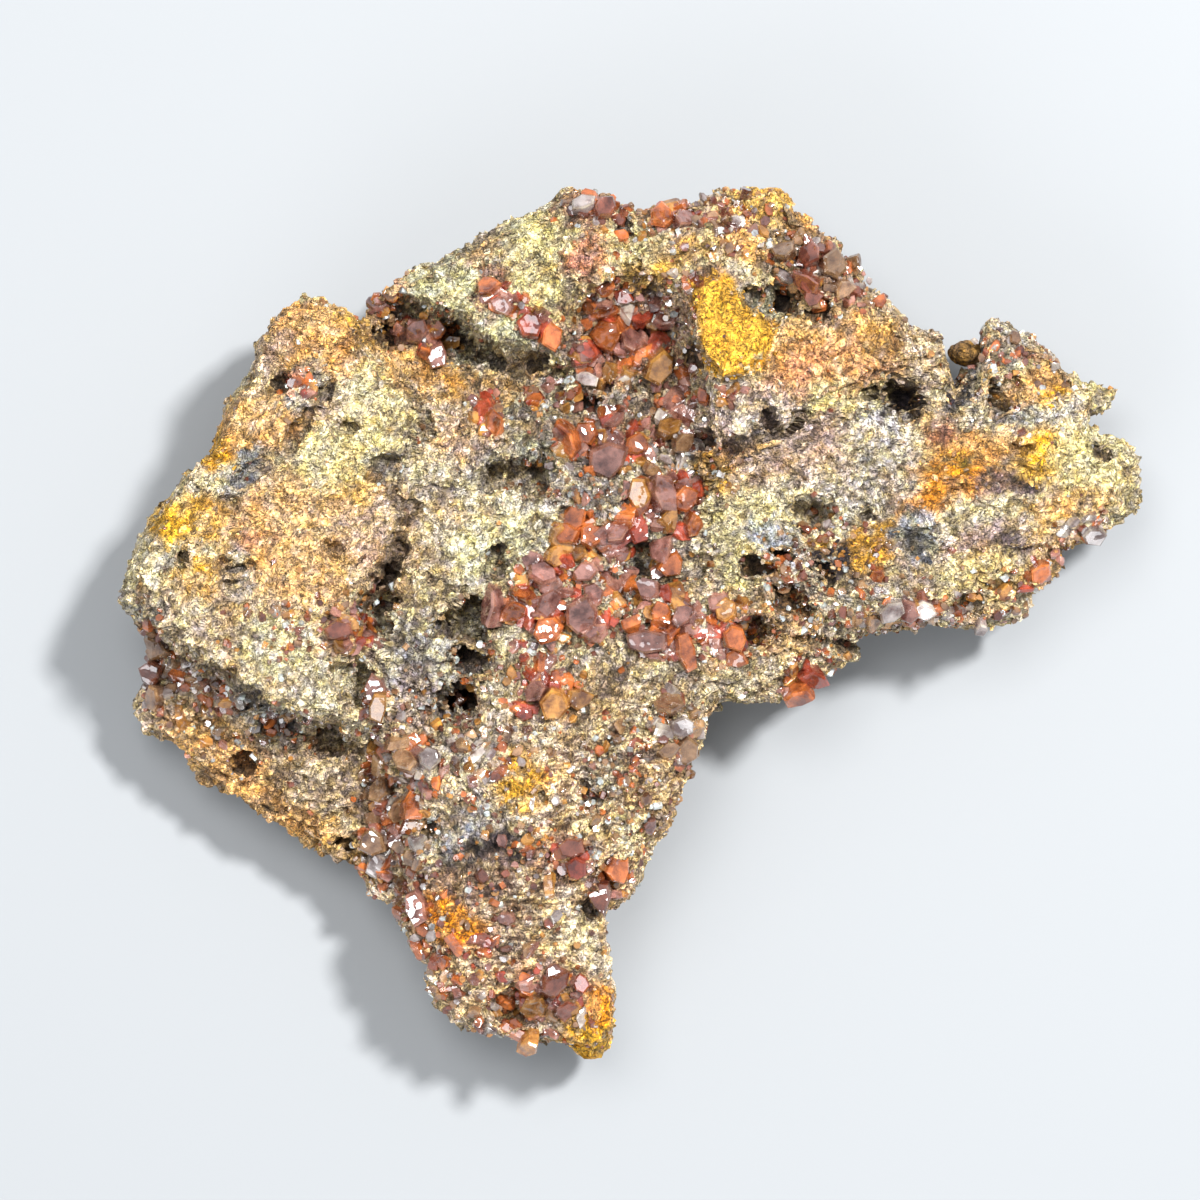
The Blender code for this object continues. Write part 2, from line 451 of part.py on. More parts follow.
def build_crystals(parts, rock, cutter):
    crystal = new_material("crystal", BRIGHT, 0.12)
    rock_tree = BVHTree.FromObject(rock, bpy.context.evaluated_depsgraph_get())
    for name, (crust, crystals) in CLUSTERS.items():
        cluster = add_object(name, cluster_mesh(name, rock_tree, crust, crystals), parts, crystal)
        cut = cluster.modifiers.new("Seat on the rock", "BOOLEAN")
        cut.operation = "DIFFERENCE"
        cut.object = cutter
        cut.use_self = True


clear_scene()
specimen = new_collection(NAME, bpy.context.scene.collection)
helpers = new_collection("cutters", bpy.context.scene.collection)
matrix = build_matrix(specimen, helpers)
clearance = add_cutter("crystal_clearance", rock_mesh("crystal_clearance", CRYSTAL_GAP), helpers)
build_crystals(specimen, matrix, clearance)
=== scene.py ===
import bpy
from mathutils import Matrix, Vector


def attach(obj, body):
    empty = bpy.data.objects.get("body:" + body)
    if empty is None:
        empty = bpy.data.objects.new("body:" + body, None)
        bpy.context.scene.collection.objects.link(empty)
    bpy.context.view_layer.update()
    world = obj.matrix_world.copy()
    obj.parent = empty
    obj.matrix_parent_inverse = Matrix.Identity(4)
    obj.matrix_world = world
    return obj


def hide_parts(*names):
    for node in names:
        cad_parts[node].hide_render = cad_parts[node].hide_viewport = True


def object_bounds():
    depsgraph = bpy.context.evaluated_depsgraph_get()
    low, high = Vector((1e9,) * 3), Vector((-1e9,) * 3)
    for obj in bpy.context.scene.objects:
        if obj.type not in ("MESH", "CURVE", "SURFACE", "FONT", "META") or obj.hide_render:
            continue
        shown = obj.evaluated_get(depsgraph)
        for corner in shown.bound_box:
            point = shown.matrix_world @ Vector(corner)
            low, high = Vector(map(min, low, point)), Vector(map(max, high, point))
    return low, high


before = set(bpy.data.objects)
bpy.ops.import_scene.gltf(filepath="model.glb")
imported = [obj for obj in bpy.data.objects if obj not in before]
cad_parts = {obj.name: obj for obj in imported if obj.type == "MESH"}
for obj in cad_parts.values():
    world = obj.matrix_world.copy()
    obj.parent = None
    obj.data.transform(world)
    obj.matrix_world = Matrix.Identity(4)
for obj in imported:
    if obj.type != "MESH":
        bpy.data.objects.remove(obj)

"""Wulfenite on matrix: the looks. Lengths are millimetres on the specimen's plan sheet, with a to the
right and b down it, and SHEET_CENTRE lies at the origin. MM turns them into metres."""

import math

import bpy
import numpy as np

CAD_BOX = [list(corner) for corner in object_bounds()]

MM = 0.001
LOW, HIGH = (np.array(corner) / MM for corner in CAD_BOX)
SHEET_CENTRE = np.array((63.1, 62.2))

# ---- the matrix, as its solid gives it ----

HEART = np.array((56.0, 56.0))
OUTLINE = [
    (29.8, 28.6), (33.6, 29.9), (35.4, 31.4), (36.3, 28.8), (39.0, 27.6), (45.7, 24.4), (50.0, 21.8),
    (53.1, 21.1), (55.1, 19.8), (56.4, 18.5), (60.2, 19.2), (64.4, 20.2), (69.4, 19.3), (72.7, 18.3),
    (74.5, 18.5), (77.8, 17.4), (79.3, 18.5), (80.9, 20.6), (84.4, 24.2), (86.5, 25.4), (87.5, 27.5),
    (90.7, 30.6), (91.2, 32.0), (94.5, 32.5), (97.6, 32.0), (100.1, 31.2), (101.9, 32.0), (106.3, 33.9),
    (110.1, 37.2), (112.4, 38.5), (111.9, 40.3), (110.4, 41.8), (110.7, 43.3), (112.9, 44.1),
    (113.9, 46.4), (114.6, 51.0), (112.9, 52.5), (109.9, 54.2), (107.3, 54.9), (107.8, 56.6),
    (105.5, 58.6), (103.7, 59.7), (103.2, 61.2), (101.7, 62.2), (98.6, 63.2), (94.6, 62.4), (91.0, 63.6),
    (87.0, 63.6), (86.4, 66.0), (83.7, 67.2), (80.6, 70.0), (78.2, 70.6), (72.9, 70.8), (71.6, 72.8),
    (70.6, 76.1), (68.0, 81.8), (66.8, 84.0), (64.9, 85.4), (64.4, 87.4), (62.8, 90.6), (60.9, 92.2),
    (60.7, 95.2), (61.1, 98.3), (61.6, 101.9), (61.4, 105.4), (59.1, 107.0), (57.0, 106.3), (53.2, 105.4),
    (50.3, 105.4), (47.5, 104.6), (45.8, 104.2), (43.6, 101.9), (42.3, 99.6), (42.1, 97.5), (40.6, 96.2),
    (39.1, 93.9), (38.7, 92.2), (36.0, 91.4), (34.5, 88.0), (31.0, 86.0), (27.9, 84.3), (24.3, 83.0),
    (22.8, 81.7), (18.7, 78.6), (16.6, 75.3), (13.3, 73.8), (12.2, 70.5), (13.6, 65.4), (12.3, 62.6),
    (11.5, 59.3), (13.6, 53.5), (15.6, 50.4), (17.3, 47.0), (20.2, 44.6), (22.2, 40.2), (24.3, 36.9),
    (25.0, 33.9), (26.3, 31.3),
]
WAVES_KEPT = 6.0
OUTLINE_STEPS = 1440
WIGGLES_FROM = 0.4

GROUND = 22.0
PLATES = {
    "south_west_shelf": (14.5, 0.06, -0.10, 1.6, [
        (8.0, 61.0), (15.5, 62.5), (20.0, 67.0), (25.5, 71.6), (33.0, 73.0), (37.0, 73.5), (41.0, 80.0),
        (41.0, 92.0), (30.0, 94.0), (10.0, 80.0)]),
    "west_slab": (26.5, -0.03, -0.02, 1.1, [
        (28.0, 24.0), (34.0, 29.5), (36.8, 32.8), (36.6, 35.6), (40.4, 38.8), (43.0, 43.0),
        (40.3, 47.5), (41.0, 51.5), (38.5, 57.0), (36.6, 60.0), (36.4, 65.0), (34.4, 71.4),
        (30.0, 72.2), (25.5, 70.8), (20.5, 67.0), (16.0, 62.6), (6.0, 60.0), (10.0, 46.0), (22.0, 30.0)]),
    "orange_saddle": (18.5, 0.0, 0.0, 1.4, [
        (37.4, 30.5), (45.0, 31.5), (50.0, 35.5), (56.5, 37.2), (56.0, 40.2), (49.5, 40.4),
        (44.5, 40.6), (41.3, 38.4), (37.6, 34.5)]),
    "north_ledge": (25.5, -0.02, -0.05, 1.0, [
        (39.0, 29.8), (38.0, 22.0), (52.0, 15.0), (63.0, 17.0), (62.0, 24.0), (61.5, 28.5), (58.4, 31.0),
        (57.6, 34.6), (52.0, 35.4), (47.6, 33.6), (44.6, 30.6)]),
    "north_east_block": (25.5, -0.02, -0.04, 1.0, [
        (62.5, 16.0), (78.0, 14.0), (94.0, 28.0), (91.5, 36.0), (86.0, 39.0), (80.0, 41.2), (74.0, 45.6),
        (70.6, 43.2), (70.0, 38.0), (68.6, 34.0), (67.4, 29.2), (63.0, 27.8)]),
    "yellow_plate": (28.0, 0.02, 0.06, 0.6, [
        (68.9, 28.6), (73.0, 28.1), (74.5, 30.3), (77.3, 32.8), (76.3, 35.4), (74.2, 37.9), (72.4, 38.2),
        (69.9, 35.8), (69.6, 32.6)]),
    "vein_floor": (19.5, 0.0, 0.05, 1.6, [
        (57.0, 37.0), (59.0, 30.0), (66.0, 29.8), (69.0, 36.0), (70.0, 44.0), (70.6, 51.0), (70.0, 57.5),
        (64.0, 60.5), (60.6, 55.0), (62.4, 50.0), (59.6, 46.5), (57.0, 42.0)]),
    "east_lobe": (20.5, -0.08, -0.06, 2.4, [
        (92.0, 28.0), (120.0, 34.0), (120.0, 56.0), (100.0, 68.0), (92.5, 66.0), (91.0, 50.0)]),
    "south_lobe": (19.5, 0.02, -0.12, 2.2, [
        (41.0, 83.0), (47.0, 80.5), (55.0, 83.0), (66.0, 80.0), (66.0, 112.0), (38.0, 112.0)]),
}
LUMPS = [
    (26.5, 42.0, 6.5, 4.0, 20, 1.2), (21.0, 57.5, 4.0, 3.2, -30, 1.0), (31.0, 33.0, 5.0, 4.0, 0, 1.0),
    (33.5, 68.0, 3.0, 3.0, 0, 0.9), (45.0, 45.5, 5.0, 4.0, 30, 1.6), (42.0, 64.5, 3.6, 5.0, 0, 1.4),
    (52.0, 43.0, 4.0, 4.4, 10, 2.2), (59.5, 49.0, 3.4, 3.0, 0, 2.4), (75.0, 43.4, 3.8, 3.4, 20, 0.8),
    (84.0, 47.0, 8.0, 6.0, -10, 2.0), (83.0, 40.6, 6.0, 2.0, 12, 1.0), (88.5, 60.0, 7.0, 3.0, 10, 1.2),
    (50.0, 76.0, 6.0, 5.0, 0, 1.6), (65.0, 78.0, 3.6, 6.0, -25, 1.4), (59.0, 104.0, 3.4, 3.4, 0, 1.8),
    (30.5, 79.0, 5.0, 4.0, 0, 2.6), (18.0, 75.0, 3.0, 2.6, 0, 1.6), (46.0, 92.0, 3.0, 6.0, -35, 1.4),
    (95.0, 47.5, 5.0, 3.0, -10, 1.2), (108.5, 47.0, 5.0, 5.0, 0, 1.0), (77.0, 63.0, 4.0, 3.0, 0, 1.4),
]
PITS = [
    (57.8, 39.6, 1.9, 1.7, 0, 5.0), (64.0, 56.4, 2.8, 1.8, 65, 5.0), (46.8, 62.8, 2.6, 2.2, 10, 8.0),
    (37.9, 61.0, 3.6, 1.6, 80, 8.0), (35.6, 67.6, 2.8, 1.6, 80, 7.0), (52.0, 47.5, 3.2, 1.4, -10, 5.0),
    (90.7, 39.6, 2.0, 1.8, -65, 7.0), (81.2, 51.6, 2.1, 1.7, 40, 6.0), (77.6, 30.4, 2.2, 1.9, 75, 4.5),
    (76.0, 63.2, 1.9, 1.6, 0, 4.0), (45.4, 33.4, 2.2, 1.7, -45, 5.0), (27.2, 72.4, 2.2, 1.6, 0, 4.0),
    (33.0, 73.8, 2.2, 1.9, 40, 5.0), (44.5, 70.6, 2.6, 1.6, 40, 6.0), (51.4, 101.6, 2.0, 1.8, 0, 5.0),
    (99.8, 39.4, 2.0, 1.5, 50, 3.0), (41.6, 88.2, 2.2, 1.5, 80, 4.0), (68.4, 37.8, 1.8, 1.8, 0, 3.0),
]
ROUGHNESS = [(13.0, 1.5), (6.5, 0.8)]

RIM = 0.965
RIM_DROP = 0.12
RIM_FROM = 0.86
WAIST_AT = 0.30
FOOT = 0.70
TAPER = 2.6
SIDE_ROUGHNESS = 0.035
SIDE_KNOB = 6.0
SIDE_KNOB_RUN = 30.0

# The notch in the north-east: where its walls start and end, how deep it is and how much deeper by its
# west wall, and between which lines the rock is drawn back for it.
NOTCH_WALLS = (94.8, 95.4, 98.3, 99.1)
NOTCH_DEPTH, NOTCH_WEST_DEPTH = 4.3, 1.1
NOTCH_FROM, NOTCH_TO = 33.6, 43.0
BRIDGE_AT = (96.95, 35.0)
BRIDGE_HEIGHT = 16.0
BRIDGE_SIZE = (1.65, 1.2, 2.0)

# ---- finer forms of the rock ----

# Small holes: place, half length, half width, turn and depth.
HOLES = [
    (28.2, 38.1, 0.9, 0.7, 60, 2.4), (32.3, 39.4, 1.0, 0.8, 0, 1.8), (35.0, 42.8, 0.9, 0.6, -30, 1.8),
    (30.0, 43.6, 1.6, 0.6, 55, 2.0), (25.0, 47.2, 1.8, 0.7, 30, 1.8), (23.0, 50.3, 1.0, 0.5, -35, 1.4),
    (18.8, 55.9, 0.7, 0.9, 0, 1.8), (23.6, 56.6, 1.7, 0.6, -25, 1.8), (33.2, 55.4, 0.8, 0.5, 0, 1.2),
    (23.8, 58.4, 0.9, 0.7, 0, 1.2), (16.9, 57.0, 0.5, 0.5, 0, 1.0), (39.3, 47.0, 1.3, 0.7, 20, 1.8),
    (47.0, 65.9, 1.3, 1.1, 0, 4.0), (45.7, 69.0, 1.0, 1.2, 0, 4.0), (24.5, 70.5, 1.2, 0.7, 0, 2.5),
    (23.8, 76.8, 1.1, 0.9, 0, 2.5), (75.6, 56.8, 1.2, 0.7, 0, 3.0), (77.8, 55.8, 1.3, 0.6, -40, 3.0),
    (79.0, 60.4, 1.8, 0.7, -50, 3.2), (75.4, 63.0, 1.1, 0.8, 20, 3.0), (82.0, 30.8, 1.2, 0.9, 0, 2.5),
    (78.9, 30.0, 1.0, 0.9, 0, 2.5), (75.0, 29.8, 0.9, 0.8, 0, 2.0), (65.0, 33.0, 1.0, 1.4, 0, 2.5),
    (69.2, 35.2, 1.0, 1.2, 20, 3.0), (70.4, 44.2, 1.0, 1.3, 0, 3.0), (77.0, 42.0, 1.0, 1.2, 0, 3.0),
    (87.1, 39.5, 0.8, 0.6, 0, 2.0), (87.0, 51.5, 0.5, 0.5, 0, 1.6), (110.8, 44.5, 0.9, 1.1, 0, 2.5),
    (102.4, 44.6, 0.7, 0.7, 0, 1.6), (100.3, 59.0, 0.9, 0.6, 0, 2.0), (96.5, 60.8, 1.2, 0.8, 0, 2.5),
    (42.6, 83.2, 0.7, 0.6, 0, 1.8), (59.0, 91.2, 0.8, 0.7, 0, 2.0), (58.5, 79.6, 0.9, 0.8, 0, 2.0),
    (54.3, 79.8, 0.6, 0.8, 0, 1.6), (33.6, 85.4, 0.8, 0.8, 0, 2.0), (53.7, 36.4, 1.0, 0.6, -20, 2.0),
    (82.0, 57.6, 1.3, 0.5, -40, 2.0), (46.1, 43.0, 0.5, 0.5, 0, 0.8), (60.0, 37.5, 1.2, 1.0, 0, 2.0),
    (38.8, 33.0, 1.4, 1.2, 0, 3.0), (40.3, 30.5, 1.2, 0.9, 0, 2.0), (61.4, 58.6, 1.0, 0.8, 0, 2.0),
    (64.4, 59.6, 0.7, 1.4, 0, 3.0), (49.5, 56.0, 0.9, 0.7, -30, 2.0), (48.8, 47.9, 1.0, 0.9, 0, 2.0),
]
# Cracks: how wide and deep each is, and the line that it follows.
CRACKS = [
    (0.55, 2.4, [(44.7, 32.0), (45.5, 33.6), (46.8, 34.6), (50.0, 35.8)]),
    (0.45, 2.0, [(37.2, 47.3), (39.8, 46.6), (39.2, 47.8), (40.0, 50.0), (41.2, 50.6), (40.4, 52.6)]),
    (0.35, 1.4, [(32.4, 54.8), (33.4, 55.6), (34.0, 55.0)]),
    (0.30, 0.9, [(79.6, 41.8), (83.0, 39.8), (86.8, 38.2), (89.2, 39.0)]),
    (0.5, 2.4, [(20.2, 66.9), (22.4, 68.0), (24.3, 69.4), (27.0, 71.6)]),
    (0.45, 2.2, [(99.2, 38.5), (100.6, 40.4)]),
    (0.4, 1.8, [(29.6, 43.9), (30.9, 42.8), (31.4, 41.4)]),
    (0.5, 2.4, [(36.8, 60.2), (37.6, 57.8), (39.4, 55.8), (40.2, 54.2)]),
    (0.4, 1.8, [(70.8, 47.0), (73.8, 45.2), (76.4, 43.6), (79.4, 42.6)]),
    (0.45, 2.0, [(60.6, 58.0), (63.0, 58.8), (64.8, 60.6)]),
    (0.4, 1.6, [(40.4, 38.8), (42.4, 41.0), (43.2, 43.4)]),
    (0.4, 1.6, [(80.4, 64.2), (83.0, 65.2), (86.4, 64.6)]),
]
# How far out the pits start, their share of the solid's depth, how much painted shade they get, and lumps
# that the solid leaves out.
PIT_EDGE = 1.12
PIT_SHARE = 0.85
PIT_DARK = 0.9
PIT_WANDER = [(2.6, 0.42), (1.1, 0.26)]   # how their edges wander: wavelength, and share of their size
SMALL_LUMPS = [
    (37.6, 29.4, 2.4, 1.7, 20, 1.4), (36.4, 31.6, 1.6, 1.4, 0, 1.0), (27.6, 31.4, 3.4, 2.2, 40, 0.8),
    (33.0, 31.6, 2.6, 2.8, 0, 0.8), (59.2, 25.6, 1.6, 2.6, -15, 0.9), (83.6, 41.0, 5.4, 1.5, 12, 0.9),
    (79.6, 33.4, 2.4, 1.4, 0, 0.8), (74.6, 24.4, 2.2, 1.8, 0, 0.8), (48.6, 46.0, 2.4, 2.0, 0, 0.8),
    (51.6, 78.2, 2.0, 1.6, 0, 1.0), (60.0, 103.6, 2.0, 2.6, 0, 0.8), (71.2, 47.0, 1.8, 1.6, 0, 0.9),
    (47.6, 31.4, 1.8, 1.4, -40, 0.9), (104.6, 46.0, 2.4, 1.6, 0, 0.7), (95.4, 47.6, 3.2, 2.0, 10, 0.7),
]
# Lumps all over the rock: each is a size, the depth of the crevices between them, how wide those are
# as a share of the size, and how much the lumps differ in height.
LUMP_SIZES = [(3.4, 0.36, 0.22, 0.6), (1.5, 0.34, 0.34, 0.40)]
CRUMBLE = [(1.2, 0.24), (0.75, 0.24)]   # finer unevenness: wavelength and height
RAGGED = [(2.1, 0.55), (0.9, 0.28)]     # how edges wander: wavelength and how far
SINK = 0.16
FOOT_FADE = 2.0
# How rough the rock is in places: place, half length, half width, turn and roughness.
ROUGH_PLACES = [
    (28.0, 50.0, 15.0, 21.0, 30, 0.70), (52.0, 28.0, 9.0, 7.0, 20, 0.85), (80.0, 34.0, 12.0, 7.0, 30, 0.85),
    (84.0, 47.0, 12.0, 8.0, 0, 0.90), (72.6, 32.6, 4.0, 5.4, 0, 0.40), (101.0, 47.0, 12.0, 9.0, 0, 0.90),
    (47.0, 44.0, 6.0, 7.0, 0, 0.90), (50.0, 76.0, 14.0, 8.0, 0, 0.90), (52.0, 94.0, 12.0, 14.0, 0, 0.80),
    (32.0, 80.0, 12.0, 7.0, 20, 1.20), (62.0, 46.0, 8.0, 18.0, 0, 1.50), (82.0, 26.0, 6.0, 5.0, 0, 1.50),
    (43.0, 66.0, 6.0, 8.0, 0, 1.40), (14.0, 67.0, 5.0, 8.0, 0, 1.40),
]
# Fibrous rock: place, half length, half width, turn, the way that the fibres run, and their height.
FIBRES = [
    (61.0, 81.0, 9.0, 13.0, 0, 45, 0.52), (50.0, 94.0, 9.0, 11.0, 0, 45, 0.44),
    (72.8, 32.6, 3.6, 5.4, 0, 80, 0.42), (66.0, 75.0, 5.0, 7.0, 0, 40, 0.44),
]
FIBRE_LONG, FIBRE_WIDE = 4.5, 0.62

TOP_CELLS = 270
SIDE_ROWS = 22

# ---- finishes ----

CREAM = (0.840, 0.800, 0.570)
PALE_GREEN = (0.680, 0.690, 0.450)
STRAW = (0.860, 0.790, 0.410)
TAN = (0.620, 0.470, 0.290)
ORANGE_TAN = (0.840, 0.500, 0.190)
YELLOW = (0.930, 0.520, 0.030)
BRIGHT_YELLOW = (0.860, 0.480, 0.050)
OCHRE = (0.600, 0.320, 0.040)
GOLDEN = (0.860, 0.350, 0.012)
ORANGE = (0.700, 0.270, 0.012)
BROWN = (0.260, 0.160, 0.095)
GREY = (0.460, 0.450, 0.410)
PALE_GREY = (0.740, 0.730, 0.680)
PALE_TAN = (0.820, 0.710, 0.540)
PURPLE_BROWN = (0.210, 0.150, 0.150)
GREY_GREEN = (0.380, 0.385, 0.310)
BLUE_GREY = (0.360, 0.410, 0.455)
BLACK = (0.030, 0.022, 0.028)
PINK_BROWN = (0.600, 0.460, 0.400)
SALMON = (0.700, 0.300, 0.170)
RED_BROWN = (0.280, 0.110, 0.060)
WHITE = (0.780, 0.790, 0.760)
MAUVE_GREY = (0.360, 0.310, 0.285)      # the rock under its crust
